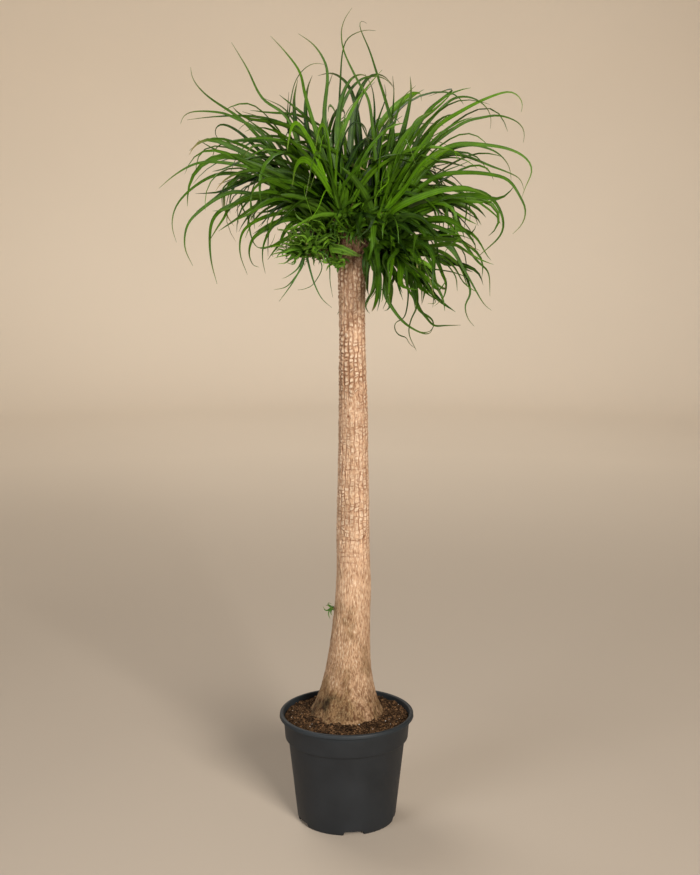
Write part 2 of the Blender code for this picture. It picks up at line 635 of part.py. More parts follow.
def make_heads(heads, trunk, home):
    """Every head: first the growing tips, then the long leaves of all, then the drawn leaves of each, so that
    nothing crosses a piece that it isn't joined to."""
    cores = {head.name: make_core(head, home) for head in heads}
    placed = [placed_object(trunk)] + [placed_object(core) for core in cores.values()]
    nudges = [0.0] + [sign * 0.010 * step for step in range(1, 13) for sign in (1, -1)]
    for head in heads:
        for leaf in (leaf for leaf in LONG_LEAVES if leaf.head == head.name):
            if not settled(head, lambda attempt: long_leaf(head, leaf, nudges[attempt]), len(nudges), placed):
                print("no place for a long leaf of", head.name, leaf.route[-1])
    for head in heads:
        rng = np.random.default_rng(head.seed)
        found = [
            settled(head, lambda attempt: drawn_leaf(head, index, rng, attempt), REDRAWS, placed)
            for index in range(head.leaves)
        ]
        print(head.name, "drawn leaves placed:", sum(found), "of", head.leaves)
    for head in heads:
        core = cores[head.name]
        blades = collection(f"{head.name}_blades")
        own = [shape for shape in placed if shape.owner == head.name][1:]
        for index, shape in enumerate(own):
            mesh_object(f"{head.name}_blade_{index}", shape.points, shape.faces, blades)
        joined(core, blades, "MANIFOLD")
        keep_outer_shell(core)
        smooth(core, 40)
        core.data.materials.append(material(f"{head.name}_leaf", head.look))


# Small shoots on the trunk itself: one low on its left side, one at its neck
SHOOTS = (
    Head("trunk_sprout", (-0.0335, -0.004, 0.492), (-1.0, -0.15, 0.15), 0.0035, 0.008,
         8, (0.012, 0.022), (10, 95), 0.0038, (40, 120), 0, 21, YOUNG_LEAF_LOOK),
    Head("neck_shoot", (-0.014, -0.033, 1.252), (-0.45, -0.85, 0.25), 0.007, 0.014,
         12, (0.035, 0.070), (15, 100), 0.009, (40, 110), 0, 22, YOUNG_LEAF_LOOK),
)


def main():
    """Clears the scene and builds every piece, trunk before heads, so that leaves keep clear of what is there."""
    for obj in list(bpy.data.objects):
        bpy.data.objects.remove(obj)
    home = collection("potted_ponytail_palm")
    make_pot(home)
    make_soil(home)
    trunk = make_trunk(home)
    make_heads((*SHOOTS, *HEADS), trunk, home)


main()
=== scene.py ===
"""Potted ponytail palm, dressed for its portrait.

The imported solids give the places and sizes. Each class here builds the finer pieces of one part of the plant:
the moulded pot, the crumbly soil, the corky trunk with its branches, and the heads of arching strap leaves.
Lengths are in metres, +Z is up, and -Y is the front.
"""

import logging
import math
from collections.abc import Sequence
from dataclasses import dataclass, field
from enum import Enum

import bpy
import numpy as np
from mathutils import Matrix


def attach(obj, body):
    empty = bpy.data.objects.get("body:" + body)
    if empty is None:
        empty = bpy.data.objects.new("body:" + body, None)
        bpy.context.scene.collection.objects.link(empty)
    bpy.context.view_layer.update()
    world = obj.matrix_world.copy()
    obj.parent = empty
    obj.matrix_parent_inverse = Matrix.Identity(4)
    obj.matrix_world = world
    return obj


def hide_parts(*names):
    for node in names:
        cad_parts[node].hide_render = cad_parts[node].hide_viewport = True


LOG = logging.getLogger("ponytail_palm")
ROOT_BODY = "root"
GOLDEN_ANGLE = math.radians(137.508)
MM_PER_METRE = 1000.0
Colour = tuple[float, float, float]
Vec = tuple[float, float, float]
Span = tuple[float, float]
Scale = float | Sequence[float]

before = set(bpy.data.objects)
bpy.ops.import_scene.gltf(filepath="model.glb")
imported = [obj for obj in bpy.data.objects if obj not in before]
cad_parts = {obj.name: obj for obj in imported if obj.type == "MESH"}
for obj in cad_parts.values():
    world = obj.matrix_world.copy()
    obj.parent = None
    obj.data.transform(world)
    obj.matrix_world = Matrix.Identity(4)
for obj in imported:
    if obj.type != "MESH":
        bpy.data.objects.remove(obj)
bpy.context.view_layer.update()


def smoothstep(value: np.ndarray, low: float = 0.0, high: float = 1.0) -> np.ndarray:
    """Rises from 0 at low to 1 at high along the cubic 3t^2 - 2t^3."""
    t = np.clip((value - low) / (high - low), 0.0, 1.0)
    return t * t * (3.0 - 2.0 * t)


def unit(vectors: np.ndarray) -> np.ndarray:
    """The same directions with length 1, along the last axis."""
    length = np.linalg.norm(vectors, axis=-1, keepdims=True)
    return vectors / np.maximum(length, 1e-12)


def lattice(seed: int, *cells: np.ndarray) -> np.ndarray:
    """A repeatable number from 0 to 1 for each whole-number cell.

    Each cell index is multiplied by its own prime, and the products are combined bit by bit and stirred.

    Args:
        seed: Picks one of many unlike patterns.
        cells: Whole numbers, one array for each axis.

    Returns:
        An array of the cells' shape.
    """
    mixed = np.full(np.shape(cells[0]), seed * 2654435761 % 2**31, dtype=np.int64)
    for cell, prime in zip(cells, (73856093, 19349663, 83492791)):
        mixed = mixed ^ (cell.astype(np.int64) * prime)
    mixed = (mixed ^ (mixed >> 13)) * 1274126177 & 0xFFFFFFFF
    mixed = (mixed ^ (mixed >> 15)) * 668265263 & 0xFFFFFFFF
    return ((mixed ^ (mixed >> 14)) & 0xFFFFFF) / float(0xFFFFFF)


def value_noise(points: np.ndarray, scale: Scale, seed: int) -> np.ndarray:
    """Smooth noise from -1 to 1: the lattice's values at a cell's corners, blended by smoothstep weights.

    Args:
        points: Places, with x, y and z along the last axis.
        scale: The size of one cell, alone or for each axis.
        seed: Picks the pattern.

    Returns:
        One value for each place.
    """
    spot = points / np.asarray(scale, float)
    cell = np.floor(spot)
    blend = smoothstep(spot - cell)
    total = np.zeros(points.shape[:-1])
    for corner in np.ndindex(2, 2, 2):
        weight = np.prod(np.where(corner, blend, 1.0 - blend), axis=-1)
        total += weight * lattice(seed, *np.moveaxis(cell + corner, -1, 0))
    return 2.0 * total - 1.0


def layered_noise(points: np.ndarray, scale: Scale, seed: int, layers: int = 3) -> np.ndarray:
    """Layers of value noise, each with half the size and half the height of the one before, summed.

    Args:
        points: Places, with x, y and z along the last axis.
        scale: The size of the largest cells, alone or for each axis.
        seed: Picks the pattern.
        layers: The number of layers.

    Returns:
        One value from -1 to 1 for each place.
    """
    sizes = np.asarray(scale, float)
    parts = [value_noise(points, sizes / 2**k, seed + 17 * k) / 2**k for k in range(layers)]
    return np.sum(parts, axis=0) / sum(0.5**k for k in range(layers))


@dataclass
class Surface:
    """The parts of a mesh as arrays: points, faces of each corner count, and what is stored on the points."""

    points: np.ndarray
    faces: list[np.ndarray]
    uv: np.ndarray | None = None
    values: dict[str, np.ndarray] = field(default_factory=dict)

    @staticmethod
    def joined(surfaces: Sequence["Surface"]) -> "Surface":
        """One surface that holds several, which all store the same things.

        Args:
            surfaces: The surfaces, each with the same kinds of faces in the same order.

        Returns:
            The joined surface.
        """
        starts = np.cumsum([0] + [len(s.points) for s in surfaces[:-1]])
        kinds = range(len(surfaces[0].faces))
        first = surfaces[0]
        return Surface(
            np.vstack([s.points for s in surfaces]),
            [np.vstack([s.faces[k] + start for s, start in zip(surfaces, starts)]) for k in kinds],
            None if first.uv is None else np.vstack([s.uv for s in surfaces]),
            {key: np.concatenate([s.values[key] for s in surfaces]) for key in first.values},
        )

    def piece(self, name: str, material: bpy.types.Material, sharp: float = 40.0) -> bpy.types.Object:
        """Puts the arrays into a mesh object that rides on the root body.

        Args:
            name: The object's name.
            material: Its one material.
            sharp: The angle in degrees past which an edge is drawn sharp.

        Returns:
            The object, at the origin.
        """
        mesh = bpy.data.meshes.new(name)
        corners = np.concatenate([f.ravel() for f in self.faces]).astype(np.int32)
        counts = np.concatenate([np.full(len(f), f.shape[1]) for f in self.faces])
        mesh.vertices.add(len(self.points))
        mesh.vertices.foreach_set("co", self.points.astype(np.float32).ravel())
        mesh.loops.add(len(corners))
        mesh.loops.foreach_set("vertex_index", corners)
        mesh.polygons.add(len(counts))
        mesh.polygons.foreach_set("loop_start", (np.cumsum(counts) - counts).astype(np.int32))
        mesh.update(calc_edges=True)
        if self.uv is not None:
            layer = mesh.uv_layers.new(name="UVMap")
            layer.data.foreach_set("uv", self.uv[corners].astype(np.float32).ravel())
        for key, value in self.values.items():
            attribute = mesh.attributes.new(key, "FLOAT", "POINT")
            attribute.data.foreach_set("value", value.astype(np.float32).ravel())
        mesh.shade_smooth()
        mesh.set_sharp_from_angle(angle=math.radians(sharp))
        mesh.materials.append(material)
        made = bpy.data.objects.new(name, mesh)
        bpy.context.scene.collection.objects.link(made)
        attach(made, ROOT_BODY)
        LOG.info("%s: %d points, %d faces", name, len(self.points), len(counts))
        return made


def grid_quads(rows: int, columns: int, wrap: bool) -> np.ndarray:
    """Quads between neighbouring points of a grid that is stored row by row.

    Args:
        rows: The number of rows of points.
        columns: The number of points in a row.
        wrap: Whether a row's last point joins its first.

    Returns:
        Point numbers, four for each quad. A quad faces the way along a row crossed with the way to the
        next row.
    """
    row = np.arange(rows - 1)[:, None] * columns
    column = np.arange(columns if wrap else columns - 1)[None, :]
    here, beside = row + column, row + (column + 1) % columns
    return np.stack([here, beside, beside + columns, here + columns], axis=-1).reshape(-1, 4)


def closed_tube(rings: np.ndarray, poles: np.ndarray) -> tuple[np.ndarray, list[np.ndarray]]:
    """Joins rings of points into one closed skin with a point at each end.

    Args:
        rings: Points as (ring, place, xyz), turning left about the way from the first ring to the last.
        poles: The first and the last point, as (2, xyz).

    Returns:
        All points, and the quads and triangles between them.
    """
    count, around = rings.shape[:2]
    quads = grid_quads(count, around, wrap=True)
    place = np.arange(around)
    after = (place + 1) % around
    last = (count - 1) * around
    first_pole, last_pole = count * around, count * around + 1
    start = np.stack([after, place, np.full(around, first_pole)], axis=-1)
    end = np.stack([last + place, last + after, np.full(around, last_pole)], axis=-1)
    return np.vstack([rings.reshape(-1, 3), poles]), [quads, np.vstack([start, end])]


def turned_rings(profile: np.ndarray, columns: int) -> np.ndarray:
    """Rings swept by a profile about the Z axis: x = r cos a, y = r sin a, z = z, for equal steps of a.

    Args:
        profile: Rows of radius and height.
        columns: The number of points in each ring.

    Returns:
        Points as (row of the profile, angle, xyz).
    """
    angle = np.linspace(0.0, math.tau, columns, endpoint=False)
    radius, height = profile[:, :1], profile[:, 1:]
    return np.stack([radius * np.cos(angle), radius * np.sin(angle), height + 0.0 * angle], axis=-1)


def rounded_profile(corners: Sequence[tuple[float, float, float]], steps: int = 6) -> np.ndarray:
    """A profile whose corners are rounded: each is cut back by its radius and bridged by a quadratic curve.

    Args:
        corners: Radius, height and rounding of each corner. A rounding of 0 keeps the corner.
        steps: The number of points on each rounded corner.

    Returns:
        Rows of radius and height.
    """
    places = np.array([corner[:2] for corner in corners])
    path = [places[:1]]
    t = np.linspace(0.0, 1.0, steps)[:, None]
    for before, here, after, (_, _, cut) in zip(places, places[1:], places[2:], corners[1:]):
        if cut <= 0.0:
            path.append(here[None])
            continue
        start = here + unit(before - here) * min(cut, np.linalg.norm(before - here) / 2)
        end = here + unit(after - here) * min(cut, np.linalg.norm(after - here) / 2)
        path.append((1 - t) ** 2 * start + 2 * t * (1 - t) * here + t**2 * end)
    path.append(places[-1:])
    return np.vstack(path)


def refined(profile: np.ndarray, longest: float) -> np.ndarray:
    """The same profile with points added, so that no step is too long.

    Args:
        profile: Rows of radius and height.
        longest: The length that no step exceeds.

    Returns:
        Rows of radius and height.
    """
    gaps = np.linalg.norm(np.diff(profile, axis=0), axis=1)
    pieces = np.maximum(1, np.ceil(gaps / longest)).astype(int)
    starts = np.repeat(np.arange(len(gaps)), pieces)
    share = np.concatenate([np.arange(n) / n for n in pieces])
    knots = np.append(starts + share, len(gaps))
    return np.column_stack([np.interp(knots, np.arange(len(profile)), profile[:, axis]) for axis in (0, 1)])


def frames_along(route: np.ndarray, lead: np.ndarray) -> tuple[np.ndarray, np.ndarray, np.ndarray]:
    """Directions along, to the side of and above each point of a route.

    The side is the lead direction less its share along the route, and above is along crossed with side.

    Args:
        route: Points, as (..., station, xyz).
        lead: The direction that the side keeps closest to, as (..., 1, xyz).

    Returns:
        The three unit directions at each station.
    """
    along = unit(np.gradient(route, axis=-2))
    side = unit(lead - np.sum(lead * along, axis=-1, keepdims=True) * along)
    return along, side, np.cross(along, side)


def smooth_route(points: np.ndarray, shares: np.ndarray) -> np.ndarray:
    """Places at given shares of the length of a curve that runs close by the points.

    A cubic curve through the points, whose slope at each is half the way between its neighbours, is cut into
    even steps. Each step is then averaged with its neighbours by a bell-shaped weight, which rounds off what
    the given points leave uneven.

    Args:
        points: The points, with x, y and z along the last axis.
        shares: Shares of the length, from 0 to 1.

    Returns:
        One place for each share.
    """
    cuts, steps, bell = 16, 120, 15
    ends = np.vstack([2 * points[0] - points[1], points, 2 * points[-1] - points[-2]])
    t = np.linspace(0.0, 1.0, cuts + 1)[:-1, None]
    spans = [
        0.5 * (2 * b + (c - a) * t + (2 * a - 5 * b + 4 * c - d) * t**2 + (3 * b - a - 3 * c + d) * t**3)
        for a, b, c, d in zip(ends, ends[1:], ends[2:], ends[3:])
    ]
    fine = np.vstack([*spans, points[-1:]])
    run = np.concatenate([[0.0], np.cumsum(np.linalg.norm(np.diff(fine, axis=0), axis=1))])
    even = np.linspace(0.0, run[-1], steps + 1)
    weight = np.hanning(bell)[1:-1]
    reach = len(weight) // 2
    rounded = []
    for axis in range(3):
        line = np.interp(even, run, fine[:, axis])
        before = 2 * line[0] - line[reach:0:-1]
        after = 2 * line[-1] - line[-2:-reach - 2:-1]
        rounded.append(np.convolve(np.concatenate([before, line, after]), weight / weight.sum(), "valid"))
    return np.column_stack([np.interp(shares * run[-1], even, line) for line in rounded])


class Sheet:
    """A material's or a group's node tree, with short calls that add nodes and feed its end node."""

    def __init__(self, tree: bpy.types.NodeTree, end: bpy.types.Node) -> None:
        """Keeps the tree that the calls add to, and its end node."""
        self.tree = tree
        self.end = end

    def fill(self, node: bpy.types.Node, inputs: dict) -> bpy.types.Node:
        """Links or sets a node's inputs.

        Args:
            node: The node.
            inputs: Sockets or values, by the input's name or number. A colour is three numbers.

        Returns:
            The same node.
        """
        for key, value in inputs.items():
            socket = node.inputs[key]
            if isinstance(value, bpy.types.NodeSocket):
                self.tree.links.new(value, socket)
            else:
                socket.default_value = (*value, 1.0) if socket.type == "RGBA" else value
        return node

    def node(self, kind: str, inputs: dict, **settings: object) -> bpy.types.Node:
        """Adds a node.

        Args:
            kind: The node's type name.
            inputs: What its inputs get, as in fill.
            settings: Values for its own settings.

        Returns:
            The node.
        """
        made = self.tree.nodes.new(kind)
        for key, value in settings.items():
            setattr(made, key, value)
        return self.fill(made, inputs)

    def feed(self, inputs: dict) -> None:
        """Gives the end node its inputs, as in fill."""
        self.fill(self.end, inputs)

    def place(self) -> bpy.types.NodeSocket:
        """The object coordinates."""
        return self.node("ShaderNodeTexCoord", {}).outputs["Object"]

    def stored(self, key: str) -> bpy.types.NodeSocket:
        """A value stored on the piece's points."""
        return self.node("ShaderNodeAttribute", {}, attribute_name=key).outputs["Fac"]

    def parts(self, vector: object) -> bpy.types.NodeOutputs:
        """The x, y and z of a vector."""
        return self.node("ShaderNodeSeparateXYZ", {0: vector}).outputs

    def math(self, operation: str, first: object, second: object = 0.0) -> bpy.types.NodeSocket:
        """One step of arithmetic."""
        return self.node("ShaderNodeMath", {0: first, 1: second}, operation=operation).outputs[0]

    def times(self, first: object, second: object) -> bpy.types.NodeSocket:
        """One value multiplied by another."""
        return self.math("MULTIPLY", first, second)

    def spread(self, value: object, low: float, high: float, to: Span = (0.0, 1.0)) -> bpy.types.NodeSocket:
        """Maps low..high to the range given, and holds it there."""
        inputs = {"Value": value, "From Min": low, "From Max": high, "To Min": to[0], "To Max": to[1]}
        return self.node("ShaderNodeMapRange", inputs).outputs[0]

    def noise(self, vector: object, scale: object, detail: float) -> bpy.types.NodeSocket:
        """Noise from 0 to 1."""
        inputs = {"Vector": vector, "Scale": scale, "Detail": detail}
        return self.node("ShaderNodeTexNoise", inputs).outputs["Fac"]

    def bump(self, height: object, strength: float, distance: float) -> bpy.types.NodeSocket:
        """The normal that a height gives, where a height of 1 is as deep as the distance in metres."""
        inputs = {"Height": height, "Strength": strength, "Distance": distance}
        return self.node("ShaderNodeBump", inputs).outputs["Normal"]

    def effect(self, group: bpy.types.NodeTree, **inputs: object) -> bpy.types.NodeOutputs:
        """Places a shared effect on the object coordinates, with its own input values."""
        return self.node("ShaderNodeGroup", {"Vector": self.place(), **inputs}, node_tree=group).outputs

    def layered(self, colour: object, *layers: tuple) -> bpy.types.NodeSocket:
        """Colours laid one over another.

        Args:
            colour: The lowest colour, a socket or three numbers.
            layers: For each layer how much of it shows, its colour and, if it isn't a plain mix, its blend.

        Returns:
            The colour that comes out.
        """
        for amount, over, *blend in layers:
            kind = blend[0] if blend else "MIX"
            inputs = {0: amount, 6: colour, 7: over}
            colour = self.node("ShaderNodeMix", inputs, data_type="RGBA", blend_type=kind).outputs[2]
        return colour


def new_group(name: str, inputs: dict[str, str], outputs: dict[str, str]) -> tuple:
    """An empty node group.

    Args:
        name: The group's name.
        inputs: The kind of each named input.
        outputs: The kind of each named output.

    Returns:
        The group's sheet and the sockets that it is given.
    """
    tree = bpy.data.node_groups.new(name, "ShaderNodeTree")
    for side, sockets in (("INPUT", inputs), ("OUTPUT", outputs)):
        for key, kind in sockets.items():
            tree.interface.new_socket(key, in_out=side, socket_type=f"NodeSocket{kind}")
    return Sheet(tree, tree.nodes.new("NodeGroupOutput")), tree.nodes.new("NodeGroupInput").outputs


def new_material(name: str) -> tuple[bpy.types.Material, Sheet]:
    """A new material.

    Args:
        name: Its name.

    Returns:
        The material, and its sheet, which ends at the node that describes the surface.
    """
    material = bpy.data.materials.new(name)
    material.use_nodes = True
    return material, Sheet(material.node_tree, material.node_tree.nodes["Principled BSDF"])


class SharedEffects:
    """Effects that more than one finish uses, each built once as a node group."""

    def __init__(self) -> None:
        """Builds the groups."""
        self.grain = self._grain()
        self.mottle = self._mottle()
        self.dust = self._dust()

    @staticmethod
    def _grain() -> bpy.types.NodeTree:
        """Fine grain: noise at a scale added to noise three times as fine, as a height and as a mask.

        Returns:
            The group.
        """
        outputs = {"Height": "Float", "Specks": "Float"}
        sheet, given = new_group("fine_grain", {"Vector": "Vector", "Scale": "Float"}, outputs)
        coarse = sheet.noise(given["Vector"], given["Scale"], 2.0)
        fine = sheet.noise(given["Vector"], sheet.times(given["Scale"], 3.0), 1.0)
        height = sheet.times(sheet.math("ADD", coarse, fine), 0.5)
        sheet.feed({"Height": height, "Specks": sheet.spread(fine, 0.60, 0.72)})
        return sheet.tree

    @staticmethod
    def _mottle() -> bpy.types.NodeTree:
        """Mottling: broad soft patches that swing a colour between a darker and a lighter one.

        Returns:
            The group.
        """
        inputs = {"Vector": "Vector", "Scale": "Float", "Dark": "Color", "Light": "Color"}
        sheet, given = new_group("mottle", inputs, {"Color": "Color", "Patch": "Float"})
        patch = sheet.spread(sheet.noise(given["Vector"], given["Scale"], 4.0), 0.32, 0.68)
        sheet.feed({"Color": sheet.layered(given["Dark"], (patch, given["Light"])), "Patch": patch})
        return sheet.tree

    @staticmethod
    def _dust() -> bpy.types.NodeTree:
        """Dust: strongest on faces that look up, broken by noise.

        Returns:
            The group.
        """
        sheet, given = new_group("dust", {"Vector": "Vector", "Amount": "Float"}, {"Mask": "Float"})
        up = sheet.parts(sheet.node("ShaderNodeNewGeometry", {}).outputs["Normal"])["Z"]
        broken = sheet.spread(sheet.noise(given["Vector"], 90.0, 4.0), 0.35, 0.65)
        facing = sheet.times(sheet.spread(up, 0.1, 0.95), broken)
        sheet.feed({"Mask": sheet.times(facing, given["Amount"])})
        return sheet.tree


class Finish:
    """What the finishes share: the material is made here, and each kind of finish dresses it."""

    def build(self, name: str, effects: SharedEffects) -> bpy.types.Material:
        """Makes the material.

        Args:
            name: The material's name.
            effects: The shared node groups.

        Returns:
            The material.
        """
        material, sheet = new_material(name)
        self.dress(sheet, effects)
        return material

    def dress(self, sheet: Sheet, effects: SharedEffects) -> None:
        """Adds the nodes of one kind of finish."""
        raise NotImplementedError


@dataclass(frozen=True)
class PlasticFinish(Finish):
    """Moulded plastic with a fine grain, faint mottling, a bluish painted highlight on the lip, and dust where
    it faces up.

    The lip's painted highlight comes in between its two heights.
    """

    dark: Colour
    light: Colour
    lip: Colour
    lip_z: Span
    dust: Colour
    roughness: Span

    def dress(self, sheet: Sheet, effects: SharedEffects) -> None:
        """Adds the nodes of moulded plastic.

        Args:
            sheet: The material's sheet.
            effects: The shared node groups.
        """
        mottle = sheet.effect(effects.mottle, Scale=14.0, Dark=self.dark, Light=self.light)
        grain = sheet.effect(effects.grain, Scale=650.0)["Height"]
        dust = sheet.effect(effects.dust, Amount=0.10)["Mask"]
        # Painted highlight: the lip turns bluish between its two heights.
        lip = sheet.spread(sheet.parts(sheet.place())["Z"], *self.lip_z)
        sheet.feed({
            "Base Color": sheet.layered(mottle["Color"], (lip, self.lip), (dust, self.dust)),
            "Roughness": sheet.spread(mottle["Patch"], 0.0, 1.0, self.roughness),
            "Specular IOR Level": 0.32,
            "Normal": sheet.bump(grain, 0.30, 0.0003),
        })


@dataclass(frozen=True)
class BarkFinish(Finish):
    """Corky bark: tan plates of many shades, dark cracks, pale highlights painted on the plates, flecks,
    fibres, stains low down and painted shade on the left side.

    It reads the values crack, plate, lip and stain stored on the piece. Crack also holds painted shade, lip is
    the plates' painted highlight, and stain also holds the left side's painted shade.
    """

    plate: Colour
    warm: Colour
    pale: Colour
    fleck: Colour
    crack: Colour
    stain_and_shade: Colour
    moss: Colour
    upright: Vec = (1.0, 1.0, 0.18)

    def dress(self, sheet: Sheet, effects: SharedEffects) -> None:
        """Adds the nodes of corky bark.

        Args:
            sheet: The material's sheet.
            effects: The shared node groups.
        """
        drawn = sheet.node("ShaderNodeMapping", {"Vector": sheet.place(), "Scale": self.upright}).outputs[0]
        fine, coarse = sheet.noise(drawn, 560.0, 2.0), sheet.noise(drawn, 260.0, 2.0)
        mottle = sheet.effect(effects.mottle, Scale=34.0, Dark=self.plate, Light=self.warm)
        grain = sheet.effect(effects.grain, Scale=500.0)["Height"]
        stain_and_shade = sheet.stored("stain_and_shade")
        colour = sheet.layered(
            mottle["Color"],
            (sheet.spread(sheet.stored("plate"), 0.0, 1.0, (0.0, 0.45)), self.fleck),
            (sheet.spread(coarse, 0.50, 0.38, (0.0, 0.55)), self.fleck),
            (sheet.spread(fine, 0.46, 0.34, (0.0, 0.75)), self.crack),
            (sheet.spread(fine, 0.56, 0.70, (0.0, 0.65)), self.pale),
            # Painted highlight: the pale spots and rims of the plates.
            (sheet.times(sheet.stored("lip"), 0.8), self.pale),
            # Dark cracks, with painted shade in their soft edges, the ring grooves and the crease lines near
            # the foot.
            (sheet.stored("crack"), self.crack),
            # The stain tint, which also paints shade on the trunk's left side.
            (stain_and_shade, self.stain_and_shade, "MULTIPLY"),
            (sheet.spread(stain_and_shade, 1.0, 2.0), self.moss, "MULTIPLY"),
        )
        height = sheet.math("ADD", fine, sheet.times(grain, 0.25))
        sheet.feed({
            "Base Color": colour,
            "Roughness": 0.9,
            "Specular IOR Level": 0.2,
            "Normal": sheet.bump(height, 0.8, 0.0014),
        })


@dataclass(frozen=True)
class SoilFinish(Finish):
    """Potting soil: dark crumbs with tan fibre and damp patches, by the value tone stored on the piece."""

    dark: Colour
    light: Colour
    fibre: Colour

    def dress(self, sheet: Sheet, effects: SharedEffects) -> None:
        """Adds the nodes of potting soil.

        Args:
            sheet: The material's sheet.
            effects: The shared node groups.
        """
        grain = sheet.effect(effects.grain, Scale=330.0)
        damp = sheet.spread(sheet.noise(sheet.place(), 46.0, 3.0), 0.45, 0.62, (0.0, 0.6))
        colour = sheet.layered(
            self.dark,
            (sheet.stored("tone"), self.light),
            (sheet.times(sheet.spread(grain["Height"], 0.40, 0.62), 0.20), self.light),
            (sheet.times(grain["Specks"], 0.45), self.fibre),
            (damp, self.dark),
        )
        sheet.feed({
            "Base Color": colour,
            "Roughness": sheet.spread(damp, 0.0, 0.6, (1.0, 0.8)),
            "Specular IOR Level": 0.06,
            "Normal": sheet.bump(grain["Height"], 0.9, 0.0015),
        })


@dataclass(frozen=True)
class StoneFinish(Finish):
    """A light mineral grain, such as the white specks in potting soil."""

    light: Colour
    dark: Colour

    def dress(self, sheet: Sheet, effects: SharedEffects) -> None:
        """Adds the nodes of a mineral grain.

        Args:
            sheet: The material's sheet.
            effects: The shared node groups.
        """
        mottle = sheet.effect(effects.mottle, Scale=300.0, Dark=self.dark, Light=self.light)
        grain = sheet.effect(effects.grain, Scale=900.0)["Height"]
        normal = sheet.bump(grain, 0.6, 0.0005)
        sheet.feed({"Base Color": mottle["Color"], "Roughness": 0.8, "Normal": normal})


@dataclass(frozen=True)
class LeafFinish(Finish):
    """A strap leaf: green by its tone, lengthwise veins, greyish bloom that is partly a painted sheen, a paler
    base and underside.

    It reads the UV map (across, along) and the values tone, dry and under stored on the piece.
    """

    dark: Colour
    bright: Colour
    base: Colour
    dry: Colour
    bloom_and_sheen: Colour
    roughness: float
    veins: int = 8
    bands: int = 3

    def dress(self, sheet: Sheet, effects: SharedEffects) -> None:
        """Adds the nodes of a strap leaf.

        Args:
            sheet: The material's sheet.
            effects: The shared node groups.
        """
        across, along, _ = sheet.parts(sheet.node("ShaderNodeUVMap", {}, uv_map="UVMap").outputs[0])
        place = sheet.place()
        veins, bands = (
            sheet.math("SINE", sheet.times(across, math.tau * count)) for count in (self.veins, self.bands)
        )
        middle = sheet.math("ABSOLUTE", sheet.math("SUBTRACT", across, 0.5))
        patch = sheet.spread(sheet.noise(place, 45.0, 3.0), 0.3, 0.7, (-0.12, 0.12))
        colour = sheet.layered(
            self.dark,
            (sheet.math("ADD", sheet.stored("tone"), patch), self.bright),
            (sheet.spread(veins, -1.0, 1.0, (0.0, 0.20)), self.dark),
            (sheet.spread(bands, -1.0, 1.0, (0.0, 0.40)), self.dark),
            (sheet.spread(middle, 0.09, 0.0, (0.0, 0.3)), self.bright),
            (sheet.spread(sheet.stored("under"), 0.5, 0.7, (0.0, 0.10)), self.base),
            (sheet.spread(along, 0.14, 0.0, (0.0, 0.40)), self.base),
            # Grey bloom in patches, partly a painted sheen.
            (sheet.spread(sheet.noise(place, 16.0, 2.0), 0.52, 0.70, (0.0, 0.15)), self.bloom_and_sheen),
            (sheet.stored("dry"), self.dry),
        )
        shine = (self.roughness - 0.08, self.roughness + 0.1)
        grain = sheet.effect(effects.grain, Scale=500.0)["Height"]
        height = sheet.math("ADD", veins, sheet.times(grain, 0.6))
        sheet.feed({
            "Base Color": colour,
            "Roughness": sheet.spread(sheet.noise(place, 70.0, 2.0), 0.3, 0.7, shine),
            "Specular IOR Level": 0.17,
            "Normal": sheet.bump(height, 0.35, 0.0002),
        })


class Hue(Enum):
    """Which finish a set of leaves takes: grown, young, or the dry scales of fallen leaves."""

    GROWN = "leaf"
    YOUNG = "young_leaf"
    DRY = "bark"


